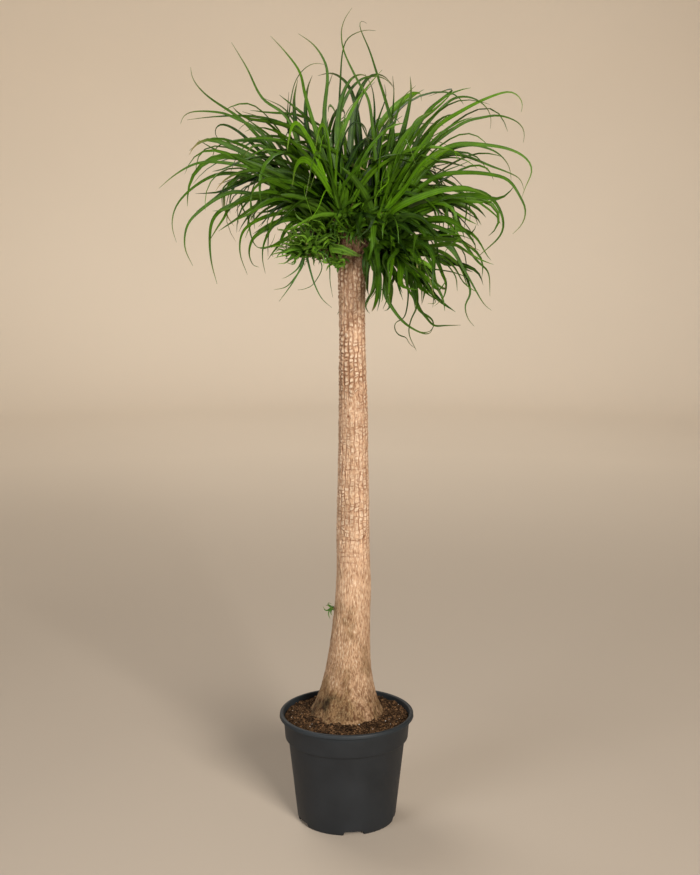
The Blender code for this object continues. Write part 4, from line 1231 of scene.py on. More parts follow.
LONG_LEAVES = {
    "head_left": (
        (-50, 11, 0.41, (-115, 1545, -175, 1600, -205, 1660, -235, 1710)),
        (40, 12, 0.3, (-108, 1434, -150, 1483, -191, 1528, -227, 1563, -294, 1608, -325, 1643, -330, 1668)),
        (-60, 11, 0.34, (-163, 1514, -237.5, 1563, -274, 1573, -320, 1573, -338, 1563, -342, 1548)),
        (100, 10, 0.26, (-78, 1504, -118, 1543, -170, 1563, -227, 1570, -295, 1568, -346, 1563)),
        (-90, 13, 0.45, (-108, 1408, -150, 1438, -201, 1458, -263, 1469, -310, 1467, -352, 1445,
            -385, 1417)),
        (-20, 11, 0.38, (-108, 1392, -165, 1427, -227, 1446, -279, 1443, -330, 1413, -361, 1378, -370, 1339,
            -361, 1304)),
        (-130, 12, 0.38, (-120, 1380, -222, 1408, -263, 1399, -299, 1374, -328, 1343, -333, 1297,
            -315, 1260)),
        (-160, 12, 0.34, (-99, 1380, -174, 1397, -248, 1378, -276, 1353, -281, 1313, -276, 1267,
            -263, 1225)),
        (140, 10, 0.26, (-99, 1411, -163, 1473, -227, 1533, -268, 1553, -286, 1541, -281, 1522,
            -248, 1513)),
        (70, 11, 0.3, (-99, 1421, -165, 1504, -206, 1516, -259, 1513, -284, 1498, -291, 1473)),
        (-190, 10, 0.41, (-88, 1360, -140, 1364, -180, 1353, -212, 1329, -216, 1287, -199, 1246)),
        (-150, 10, 0.38, (-108, 1353, -150, 1343, -170, 1308, -173, 1277, -165, 1246)),
        (-170, 4, 0.95, (-60, 1400, -82, 1420, -86.3, 1413, -78, 1385, -67.9, 1361)),
        (-30, 11, 0.15, (-76.1, 1466, -82.3, 1515, -107.3, 1551, -132.2, 1582, -169.7, 1600)),
        (20, 10, 0.1, (-107.3, 1478, -144.7, 1533, -182.2, 1563, -219.6, 1576)),
        (50, 10, 0.1, (-100, 1470, -122.9, 1539, -124.8, 1576, -122.9, 1618)),
        (60, 6, 0.3, (-100, 1470, -122.9, 1539, -113.5, 1624, -94.8, 1661, -69.8, 1678, -44.9, 1676)),
        (-120, 13, 0.4, (-110, 1362, -143, 1347, -175, 1330, -197, 1311, -203, 1283, -194, 1261,
            -180, 1256.5)),
        (-100, 11, 0.3, (-95, 1350, -118.5, 1340, -133, 1321, -140, 1302, -153, 1285, -162.5, 1271)),
        (-170, 9, 0.3, (-130, 1400, -200, 1400, -221, 1392, -216, 1373, -204, 1356, -199, 1325.5,
            -189, 1302, -172, 1294, -153, 1302, -143, 1325)),
        (-140, 13, 0.35, (-130, 1400, -200, 1402, -240.6, 1378, -252.7, 1356, -267, 1333, -280, 1309)),
        (0, 18, 0.2, (-80, 1420, -100, 1490, -108, 1550, -110, 1600, -102, 1640)),
        (-40, 17, 0.45, (-90, 1410, -125, 1450, -155, 1485, -180, 1505, -200, 1500, -215, 1480)),
    ),
    "head_middle": (
        (-100, 13, 0.45, (-60, 1520, -85, 1605, -95, 1650, -125, 1690, -152, 1718)),
        (-30, 14, 0.34, (-26, 1452, -46, 1553, -39, 1638, -44, 1673, -67, 1708, -98, 1730)),
        (-150, 18, 0.95, (-38, 1413, -61, 1473.5, -75, 1509, -95.5, 1543, -108, 1545, -115, 1520,
            -119, 1490)),
        (-170, 18, 0.85, (-24, 1409, -33, 1465, -38, 1509, -45, 1539, -53, 1541, -58, 1520, -62, 1490)),
        (-140, 14, 0.8, (-19.5, 1415, -19.5, 1465, -15, 1509, -5.5, 1550, 8, 1577, 24, 1592)),
        (-170, 21, 0.7, (-31, 1397, -55, 1440, -80, 1470, -94, 1472, -104, 1455, -108, 1420)),
        (-190, 14, 0.55, (-10, 1400, 2, 1430, 22, 1455, 48, 1476, 60, 1470)),
        (0, 19, 0.22, (-30, 1430, -42, 1500, -45, 1560, -40, 1615, -28, 1655)),
        (-20, 17, 0.3, (-10, 1440, -18, 1520, -12, 1590, 6, 1635, 30, 1650, 52, 1640)),
        (20, 18, 0.12, (-50, 1440, -75, 1510, -85, 1570, -82, 1620, -72, 1650)),
        (40, 16, 0.16, (5, 1450, 10, 1530, 22, 1600, 45, 1645, 75, 1652, 100, 1630)),
        (-170, 4.2, 1, (-34, 1460, -44, 1520, -50, 1512, -57.6, 1464, -71.4, 1417)),
        (-180, 4, 0.95, (-30, 1400, -42.5, 1412, -58.7, 1374, -79.5, 1345)),
        (-20, 14, 0.6, (-23, 1466, -7.4, 1533, 17.5, 1588, 48.7, 1630, 73.7, 1658)),
        (30, 13, 0.25, (-32.4, 1466, -26.2, 1533, -10.6, 1582, 11.3, 1624, 42.5, 1647, 79.9, 1645,
            101.8, 1624)),
        (-80, 14, 0, (-13.7, 1442, -10.6, 1490, 1.9, 1533, 20.7, 1551, 39.4, 1539, 42.5, 1515)),
        (-50, 14, 0.05, (-7.4, 1430, 11.3, 1478, 30, 1509, 48.7, 1521, 61.2, 1503)),
        (-30, 16, 0, (17.5, 1417, 11.3, 1466, -1.2, 1509, -7.4, 1527)),
        (-370, 12, 0.41, (-20, 1400, -45, 1470, -60, 1480, -75, 1400)),
    ),
    "head_right": (
        (-180, 4.2, 1, (72, 1420, 82, 1458, 86.5, 1430.8, 68.3, 1412.8, 59, 1397, 56.6, 1379)),
        (-190, 4.2, 0.9, (95, 1450, 118, 1512, 126, 1503, 137.5, 1464)),
        (0, 16, 0.2, (36.3, 1442, 48.7, 1503, 67.4, 1563, 83, 1606, 79.9, 1630)),
        (-50, 14, 0.4, (80, 1442, 89.3, 1503, 104.9, 1563, 117.4, 1600, 142.3, 1624)),
        (-20, 15, 0, (55, 1430, 67.4, 1490, 73.7, 1533, 98.6, 1563, 111.1, 1551)),
        (30, 17, 0.15, (70, 1430, 85, 1500, 95, 1565, 100, 1615, 98, 1650)),
        (-20, 18, 0.28, (85, 1420, 110, 1500, 126, 1560, 135, 1610, 133, 1645)),
        (-100, 14, 0.5, (62, 1400, 68, 1442, 70.5, 1487, 77.5, 1525, 90, 1560)),
        (60, 16, 0.2, (60, 1400, 30, 1480, 20, 1550, 35, 1610, 60, 1640)),
        (-40, 11, 0.38, (67, 1390, 49, 1582, 29, 1625, 12, 1657, -6, 1696, -11, 1730, -6, 1755, 11, 1780)),
        (20, 11, 0.34, (99, 1514, 88, 1580, 67, 1645, 49, 1700, 33, 1735, 26, 1757, 32, 1765, 42, 1757)),
        (-150, 26, 0.95, (74.5, 1372.2, 92, 1427.8, 111.9, 1479.1, 129.3, 1519.7, 140.4, 1547.5,
            155.5, 1560, 170, 1566)),
        (-170, 23, 1, (82, 1366.5, 102, 1388, 121, 1410, 138, 1436.5, 154, 1461, 170, 1477.5, 188, 1488,
            205, 1493)),
        (-120, 17, 0.75, (93, 1395, 116, 1440, 135.5, 1473.5, 160.5, 1509, 184, 1541, 205, 1560)),
        (-180, 16, 0.7, (102, 1372, 145, 1395, 195, 1412, 245, 1418, 285, 1400)),
        (-60, 14, 0.75, (88, 1385, 118, 1421, 146, 1466, 169, 1509, 187, 1541, 232, 1570, 282, 1596,
            331, 1613, 350, 1609, 365, 1590, 361, 1572)),
        (60, 11, 0.38, (103, 1401, 167, 1493, 244, 1551, 284, 1563, 325, 1569, 367, 1555, 382, 1535,
            381, 1514)),
        (110, 10, 0.3, (97, 1401, 125, 1462.5, 163, 1540, 216, 1597, 244, 1609, 272, 1607, 299, 1592,
            314, 1569, 314, 1545)),
        (150, 12, 0.26, (114, 1462.5, 163, 1565.5, 198, 1600, 225, 1621, 229, 1628, 216, 1628, 182, 1616)),
        (-30, 12.5, 0.6, (85, 1362, 125, 1405, 164, 1466, 197, 1493, 235, 1508, 290, 1506, 341, 1497.5,
            377, 1479, 391, 1453, 377, 1421, 370, 1399)),
        (50, 12, 0.34, (103, 1380, 199, 1483, 258, 1506, 307, 1497.5, 333, 1482, 350, 1460, 355, 1434.5)),
        (0, 11, 0.38, (103, 1380, 157, 1452, 225, 1487, 312, 1460, 352.5, 1445, 370, 1434.5, 377, 1413)),
        (-120, 13, 0.41, (114, 1380, 186, 1438, 252, 1448, 312, 1442, 340, 1429.5, 363, 1392, 370, 1372,
            363, 1345, 342, 1324.5)),
        (-150, 12, 0.38, (114, 1380, 199, 1411, 272, 1411, 307, 1390, 324, 1353, 317.5, 1321, 282, 1289,
            261, 1273)),
    ),
    "head_back": (
        (80, 16, 0.1, (30, 1450, 28, 1530, 18, 1600, 0, 1640, -30, 1660, -60, 1655)),
        (100, 15, 0.14, (50, 1440, 55, 1520, 60, 1580, 55, 1630, 40, 1660)),
        (30, 9, 0.26, (-6, 1480, -14, 1580, -12, 1640, -9, 1692, 0, 1726, 20, 1739, 41, 1745, 61, 1743)),
        (360, 12, 0.34, (30, 1450, 50, 1540, 70, 1560, 85, 1500)),
        (370, 12, 0.38, (0, 1420, -40, 1500, -70, 1500, -90, 1420)),
    ),
    "head_low_right": (
        (-100, 12, 0.3, (114, 1345, 199, 1318, 239, 1262, 260.5, 1202, 248, 1177, 254, 1147.5, 267, 1133)),
        (-140, 11, 0.34, (125, 1345, 220, 1324.5, 272, 1267, 293, 1246, 295, 1199)),
        (-110, 11, 0.3, (125, 1335, 210, 1297, 248, 1244, 274, 1199, 288, 1177, 301, 1167)),
        (-120, 12, 0.34, (105, 1310, 93, 1287, 86, 1246, 81, 1202, 97, 1169, 122, 1139, 154, 1120,
            174, 1117.5, 180, 1133)),
        (-150, 13, 0.34, (135, 1287, 146, 1222, 149, 1177, 135, 1147.5, 130, 1120, 144, 1087.5)),
        (-170, 10, 0.3, (125, 1265, 149, 1180, 167, 1152, 182, 1137, 203, 1139, 233, 1141.5)),
        (-60, 13, 0.5, (60, 1310, 64, 1275, 68, 1244, 68, 1220, 60, 1199.5, 51, 1187)),
        (-50, 9, 0.25, (56, 1300, 47, 1270, 43, 1237, 42, 1214, 41, 1200)),
        (-120, 12, 0.4, (118, 1275, 125, 1248, 129, 1211, 140, 1192, 144, 1164)),
        (-100, 12, 0.3, (105, 1275, 111, 1248, 113, 1225, 111, 1201)),
        (-150, 13, 0.45, (140, 1310, 185, 1274, 200.5, 1240, 207, 1221, 200.5, 1195, 181, 1179)),
        (-120, 12, 0.35, (135, 1300, 157, 1257, 165, 1231, 164, 1216.5)),
        (-130, 11, 0.4, (150, 1300, 179, 1255, 185, 1231, 190, 1218.6)),
        (-140, 8, 0.4, (135, 1240, 155, 1210, 172, 1204, 181, 1195, 184, 1183, 168, 1183)),
        (-150, 7, 0.35, (130, 1230, 150.5, 1168, 168, 1155, 181, 1145, 181, 1130, 164, 1121, 142, 1130,
            129, 1140)),
        (-160, 7, 0.3, (130, 1220, 124.5, 1153, 103, 1140, 102, 1125.5, 111.5, 1115, 124.5, 1113, 129, 1102,
            142, 1093)),
        (-70, 16, 0.6, (50, 1335, 58, 1303, 61, 1262, 60, 1232, 54, 1205, 43, 1174)),
        (-170, 17, 0.75, (91, 1330, 94, 1305, 94, 1275, 90, 1242, 86, 1208, 90, 1182)),
    ),
    "head_low_left": (
        (-50, 3.4, 0, (-45, 1280, -36, 1258, -34.5, 1222, -29, 1190)),
        (-70, 4.2, 0, (-80, 1262, -73, 1236, -66, 1215.3, -52.1, 1188.3, -31.4, 1169.2)),
        (-90, 4.2, 0.05, (-95, 1255, -110, 1226, -122, 1208, -140, 1184)),
        (-50, 4.5, 0.1, (-91.4, 1258, -109.8, 1228.7, -128.2, 1210.9, -152, 1205)),
        (-80, 3.6, 0, (-52, 1258, -68.3, 1219.8, -86.8, 1208.6, -100.6, 1206.8)),
        (-60, 4.5, 0.15, (-90, 1275, -102.9, 1249, -125.9, 1232.3, -134, 1230)),
    ),
    "neck_shoot": (
        (-52, 5.2, 0.8, (-34, 1297, -18.5, 1298, -6, 1295, 8, 1289, 22, 1281, 34, 1277.5)),
        (-53, 5.2, 0.45, (-34, 1293.5, -18.5, 1294.5, -6, 1291.5, 8, 1286, 21, 1279.5, 32, 1276)),
        (-54, 5.2, 0.9, (-34, 1290, -19, 1291, -7, 1288, 6, 1283.5, 19, 1278, 30, 1275.5)),
        (-55, 5.2, 0.5, (-33, 1286.5, -19.5, 1287, -8, 1284.5, 4, 1281, 16, 1277, 28, 1274.5)),
        (-56, 5, 0.75, (-32, 1283, -20, 1283.5, -10, 1281.5, 0, 1279, 12, 1276)),
        (-54, 10, 0.8, (-30, 1265, -16, 1264, -4, 1268, -4, 1258, -8, 1246)),
        (-50, 10, 0.7, (-32, 1264, -46, 1262, -56, 1268)),
        (-50, 9, 0.6, (-26, 1262, -22, 1256, -12, 1254, 2, 1260)),
    ),
    "trunk_sprout": (
        (-10, 4, 0.22, (-35, 494.5, -41.5, 500.5, -40.5, 506, -34.5, 505)),
        (0, 3.8, 0.12, (-36.5, 490.5, -42, 487, -48, 487.5, -52, 494)),
        (-12, 3.6, 0.15, (-37, 489, -40.5, 483, -39.8, 477, -37, 470.5)),
        (-6, 3.8, 0, (-34.5, 488, -35, 481, -33, 477)),
        (4, 3.6, 0, (-35.5, 496.5, -40, 498.5, -45.5, 496)),
    ),
}


@dataclass(frozen=True)
class Clearing:
    """A space at the front of the crown that drawn leaves keep out of, except those of the head it spares."""

    x: Span
    z: Span
    y: float
    spares: str = ""

    def holds(self, points: np.ndarray) -> np.ndarray:
        """Which points lie in the clearing."""
        x, y, z = np.moveaxis(points, -1, 0)
        return (x > self.x[0]) & (x < self.x[1]) & (z > self.z[0]) & (z < self.z[1]) & (y < self.y)


NECK_Z = 1.296
CLEARINGS = (
    Clearing((-0.034, 0.036), (0.0, NECK_Z), 0.0),
    Clearing((-0.125, 0.190), (1.430, 2.0), -0.10),
    Clearing((-0.080, 0.130), (1.365, 1.440), -0.10),
    Clearing((0.055, 0.170), (1.360, 1.450), -0.055),
    Clearing((-0.140, -0.036), (1.235, 1.330), -0.02, "head_low_left"),
)


@dataclass
class Crown:
    """The heads of leaves, with the space that they keep to.

    The tries are how often a leaf's route is drawn. The tapers are those of slim and of broad long leaves,
    and broad ones are wider than the number of millimetres given.
    """

    centre: Vec = (0.004, 0.0, 1.395)
    half_width: float = 0.385
    half_depth: float = 0.375
    rise: float = 0.300
    squareness: float = 2.6
    trunk_clear: float = 0.036
    stations: int = 15
    long_stations: int = 40
    tries: int = 24
    broad: float = 15.0
    tapers: Span = (1.6, 2.1)
    head_bases: int = 26
    shoot_bases: int = 5

    @staticmethod
    def shares(count: int) -> np.ndarray:
        """Shares of a leaf's length, closer together at its curling tip: 1 - (1 - t)^1.15 for even t."""
        return 1.0 - (1.0 - np.linspace(0.0, 1.0, count)) ** 1.15

    def inside(self, routes: np.ndarray, head: Head, size: np.ndarray) -> np.ndarray:
        """Which routes keep to the crown.

        Past their first two stations they stay within the dome above and the bowl below the crown's middle,
        off the trunk, and out of the clearings at the front.

        Args:
            routes: Points as (..., station, xyz).
            head: The head that the routes leave.
            size: How large a share of the crown each route may fill.

        Returns:
            True or False for each route.
        """
        if head.drop <= 0.0:
            return np.ones(routes.shape[:-2], bool)
        beyond = routes[..., 2:, :]
        x, y, z = np.moveaxis(beyond - np.array(self.centre), -1, 0)
        reach = np.where(z > 0, self.rise, head.drop)
        filled = np.abs([x / self.half_width, y / self.half_depth, z / reach]) / size[..., None]
        fits = np.sum(filled**self.squareness, axis=0) <= 1.0
        fits &= (np.hypot(x, y) > self.trunk_clear) | (beyond[..., 2] > NECK_Z)
        for clearing in CLEARINGS:
            if clearing.spares != head.name:
                fits &= ~clearing.holds(beyond)
        return fits.all(axis=-1)

    @staticmethod
    def ring_directions(head: Head, turn: np.ndarray) -> tuple[np.ndarray, np.ndarray]:
        """A head's own direction, and the directions square to it at each turn about it.

        Args:
            head: The head.
            turn: Angles about the head's direction, with a last axis of length 1.

        Returns:
            The direction, and one direction for each turn.
        """
        axis = unit(np.array(head.axis))
        across = unit(np.cross(axis, (0.0, 1.0, 0.1)))
        return axis, across * np.cos(turn) + np.cross(axis, across) * np.sin(turn)

    def _starts(
        self, rng: np.random.Generator, head: Head, share: np.ndarray
    ) -> tuple[np.ndarray, np.ndarray]:
        """The direction and the place with which each try at each leaf starts.

        Leaf i of n leaves its axis at a turn of i golden angles, tipped off the axis by a share of the polar
        range that grows with i / n. Later tries stray further.

        Args:
            rng: The random numbers.
            head: The head.
            share: Which part of the head's leaves come before each one, from 0 to 1.

        Returns:
            Directions and places, as (leaf, try, xyz).
        """
        shape = (head.leaves, self.tries)
        stray = 0.12 + 0.012 * np.arange(self.tries)
        turn = np.arange(head.leaves)[:, None] * GOLDEN_ANGLE + rng.uniform(-3, 3, shape) * stray
        inner, outer = np.radians(head.polar)
        off_axis = (inner + (outer - inner) * share**0.9 + rng.uniform(-1, 1, shape) * stray)[..., None]
        axis, radial = self.ring_directions(head, turn[..., None])
        depth = 0.85 - (0.75 + head.rooting) * share[..., None]
        root = np.array(head.base) + axis * head.core_length * depth + radial * head.core_radius * 0.4
        return axis * np.cos(off_axis) + radial * np.sin(off_axis), root

    def _arcs(self, rng: np.random.Generator, head: Head, share: np.ndarray, way: np.ndarray) -> np.ndarray:
        """The way that each try at each leaf runs from its root.

        Its rise above the level starts no lower than the head's lift and falls to a drawn ending along a
        smooth step of its length, so that the leaf arches over and its tip hangs. Inner leaves fall only part
        of the way. Waves are added to its rise and its heading, which also turns aside in proportion to
        s^1.5, and the last quarter curls. The route is the running sum of its steps. Later tries are shorter.

        Args:
            rng: The random numbers.
            head: The head.
            share: Which part of the head's leaves come before each one, from 0 to 1.
            way: The direction in which each try starts.

        Returns:
            Points as (leaf, try, station, xyz), from the root as zero.
        """
        shape = way.shape[:2]
        s = self.shares(self.stations)
        length = rng.uniform(*head.lengths, (head.leaves, 1)) * (1.08 - 0.2 * share)
        length = (length * (1 - 0.022 * np.arange(self.tries)))[..., None]
        first = np.arcsin(np.clip(way[..., 2], -1, 1))
        first = np.maximum(first, np.radians(head.lift + rng.uniform(-12, 24, shape)))
        ending = np.radians(rng.uniform(*head.ending, shape))
        held = 0.35 + 0.65 * smoothstep(share + rng.uniform(-0.25, 0.25, shape), 0.10, 0.60)
        fall = ((first - ending) * held)[..., None]
        rise = first[..., None] - fall * smoothstep(s, rng.uniform(-0.15, 0.35, shape)[..., None], 1.12)
        curl = rng.normal(0.0, 0.6, (*shape, 2))
        late = smoothstep(s, 0.72, 1.0)
        wave = np.radians(head.wave) * rng.uniform(0.3, 1.0, shape)[..., None]
        phase = rng.uniform(0, math.tau, (*shape, 2))
        pace = rng.uniform(5.0, 10.0, shape)[..., None]
        sweep = rng.uniform(-0.6, 0.6, shape)[..., None]
        rise = rise + wave * np.sin(s * pace + phase[..., :1]) * s + curl[..., :1] * late
        heading = np.arctan2(way[..., 1:2], way[..., :1]) + sweep * s**1.5
        heading = heading + 1.6 * wave * np.sin(s * 0.8 * pace + phase[..., 1:]) * s + curl[..., 1:] * late
        level = np.cos(rise)
        step = np.stack([level * np.cos(heading), level * np.sin(heading), np.sin(rise)], axis=-1)
        step = (step[..., 1:, :] + step[..., :-1, :]) / 2 * (np.diff(s) * length)[..., None]
        return np.concatenate([np.zeros((*shape, 1, 3)), np.cumsum(step, axis=-2)], axis=-2)

    def drawn(self, head: Head) -> BladeSet:
        """Draws a head's leaves. Of the tries at each leaf, the first that stays inside the crown is kept.

        Args:
            head: The head.

        Returns:
            The leaves that found a place.
        """
        rng = np.random.default_rng(head.seed)
        share = ((np.arange(head.leaves) + 0.5) / head.leaves)[:, None]
        way, root = self._starts(rng, head, share)
        routes = self._arcs(rng, head, share, way) + root[..., None, :]
        fits = self.inside(routes, head, rng.uniform(0.76, 1.0, (head.leaves, 1)))
        kept = np.flatnonzero(fits.any(axis=1))
        routes = routes[kept, np.argmax(fits, axis=1)[kept]]
        count = len(kept)
        twist = rng.uniform(-0.9, 0.9, (count, 1))
        turns = twist + np.array([[0.0, 1.0]]) * rng.uniform(-1.8, 1.8, (count, 1))
        tones = rng.beta(0.9, 3.0, count) + head.paler * (1.0 - 0.7 * share[kept, 0])
        dry = np.where(rng.random(count) < 0.07, rng.uniform(0.4, 1.0, count), 0.0)
        widths = head.width * rng.uniform(0.55, 1.1, count)
        return BladeSet(routes, widths, turns, np.clip(tones, 0.0, 1.0), dry, self.shares(self.stations))

    def long_ones(self, head: Head) -> list[BladeSet]:
        """A head's long leaves, each along a smooth curve whose depth runs evenly from root to tip.

        Each is turned about itself so that its upper face looks more or less to the front.

        Args:
            head: The head.

        Returns:
            One set for each leaf.
        """
        rng = np.random.default_rng(head.seed + 80)
        root = np.array(head.base) + unit(np.array(head.axis)) * head.core_length * 0.6
        shares = self.shares(self.long_stations)
        sets = []
        for row in LONG_LEAVES.get(head.name, ()):
            leaf = LongLeaf(*row)
            flat = np.reshape(leaf.route, (-1, 2)) / MM_PER_METRE
            share = (np.arange(len(flat)) + 1) / len(flat)
            depth = root[1] + (leaf.depth / MM_PER_METRE - root[1]) * share
            knots = np.vstack([root, np.column_stack([flat[:, 0], depth, flat[:, 1]])])
            turns = np.copysign(np.radians(rng.uniform((45, 60), (80, 100))), knots[-1, 0] - root[0])
            width, tone, dry = np.array([[leaf.width / MM_PER_METRE], [leaf.tone], [0.2]])
            taper = self.tapers[leaf.width > self.broad]
            route = smooth_route(knots, shares)[None]
            sets.append(BladeSet(route, width, turns[None], tone, dry, shares, taper))
        return sets

    def heart(self, head: Head) -> BladeSet:
        """The short broad bases at the middle of a head, which close round its growing tip.

        Args:
            head: The head.

        Returns:
            The bases.
        """
        count = self.head_bases if head in HEADS else self.shoot_bases
        rng = np.random.default_rng(head.seed + 50)
        axis, radial = self.ring_directions(head, (np.arange(count) * GOLDEN_ANGLE)[:, None, None])
        share = (np.arange(count) / count)[:, None, None]
        shares = self.shares(self.stations)
        s = shares[:, None]
        reach = head.core_length * (1.1 + 1.0 * (1 - share))
        up = reach * s + head.core_length * (0.6 - 0.6 * share)
        out = head.core_radius * (0.25 + 0.35 * share + (0.3 + 1.5 * share) * s**1.6)
        routes = np.array(head.base) + axis * up + radial * out
        tones = rng.uniform(0.2, 0.8, count)
        widths = head.width * rng.uniform(0.8, 1.0, count)
        return BladeSet(routes, widths, np.zeros((count, 2)), tones, np.zeros(count), shares)

    def build(self, finishes: Finishes) -> list[bpy.types.Object]:
        """Makes every head and shoot.

        Args:
            finishes: The materials.

        Returns:
            The objects.
        """
        made = []
        for head in (*HEADS, *SHOOTS):
            drawn = [self.drawn(each) for each in (head, *NECK_TUFTS) if each.name == head.name]
            sets = [BladeSet.joined([*drawn, self.heart(head)]), *self.long_ones(head)]
            surface = Surface.joined([blades.surface() for blades in sets])
            piece = surface.piece(f"leaves_{head.name}", finishes.leaves[head.hue], 60.0)
            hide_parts(head.name)
            made.append(piece)
        return made


@dataclass(frozen=True)
class Plates:
    """One kind of bark plate, stacked in columns: how many columns stand round the trunk, and their sizes.

    The level share is how strong the cracks between two plates of a column are beside those between columns,
    and these are the more broken the higher the steady value. The spot and rim highlights are how pale the
    spot and the rim of a plate are, both painted highlights, and the relief is how far it stands out. The
    fades are the heights between which the plates come in and go out.
    """

    around: int
    tall: float
    crack: float
    level_share: float
    steady: float
    spot_highlights: float
    rim_highlights: float
    relief: float
    fade_in: Span
    fade_out: Span
    seed: int

    def shown(self, z: np.ndarray) -> np.ndarray:
        """How much of these plates shows at a height, from 0 to 1."""
        return smoothstep(z, *self.fade_in) * smoothstep(z, *self.fade_out)

    def pattern(self, turn: np.ndarray, z: np.ndarray) -> tuple[np.ndarray, np.ndarray, np.ndarray]:
        """Wavering columns, each cut into plates at its own uneven heights.

        Args:
            turn: Places round the trunk, from 0 to 1.
            z: Heights.

        Returns:
            How far each place lies into a crack, whose soft fall-off is painted shade round each plate, a
            random number for its plate, and how pale it is as the painted highlight of the spot low in the
            plate or of its rim, each from 0 to 1.
        """
        ring = np.stack([np.cos(turn * math.tau), np.sin(turn * math.tau), z * 22.0], axis=-1)
        u = turn * self.around + 0.42 * layered_noise(ring, (0.45, 0.45, 0.30), self.seed + 10, 3)
        column = np.floor(u) % self.around
        across = u - np.floor(u)
        slant = 0.7 * (lattice(self.seed + 3, column, np.floor(z / self.tall / 3)) - 0.5)
        v = z / self.tall + 7 * lattice(self.seed, column) + slant * across
        v = v + 0.5 * value_noise(ring, 0.4, self.seed + 11)
        row = np.floor(v)
        edges = [row + k + 0.7 * (lattice(self.seed + 1, column, row + k) - 0.5) for k in (-1, 0, 1, 2)]
        edges = np.stack(edges)
        below = np.where(edges <= v, edges, -np.inf).max(axis=0)
        above = np.where(edges > v, edges, np.inf).min(axis=0)
        number = row + (edges <= v).sum(axis=0)
        aspect = self.tall * self.around / 0.19
        aside = 0.5 - np.abs(across - 0.5)
        # The soft fall-off into each crack, here and between plates, is painted shade that makes the plates
        # look rounded.
        upright = smoothstep(aside, self.crack, 0.0)
        upright = upright * smoothstep(value_noise(ring, (0.5, 0.5, 0.35), self.seed + 12), -0.9, self.steady)
        level = smoothstep(np.minimum(above - v, v - below) * aspect, self.crack, 0.0)
        level = level * self.level_share * (0.4 + 0.6 * lattice(self.seed + 6, column, number))
        shade = lattice(self.seed + 2, column, number)
        # Painted highlight: a pale spot low in each plate.
        blob = np.hypot(across - 0.42, ((v - below) * aspect - 0.40) * 0.9)
        spot = smoothstep(blob, 0.42, 0.16) * smoothstep(shade, 0.15, 0.55)
        # Painted highlight: a pale rim just inside each plate's cracks.
        beside = np.minimum(aside, np.minimum(above - v, v - below) * aspect) - 1.5 * self.crack
        rim = np.exp(-((beside / (0.55 * self.crack)) ** 2)) * smoothstep(shade, 0.25, 0.6)
        return np.maximum(upright, level), shade, np.maximum(self.spot_highlights * spot, self.rim_highlights * rim)


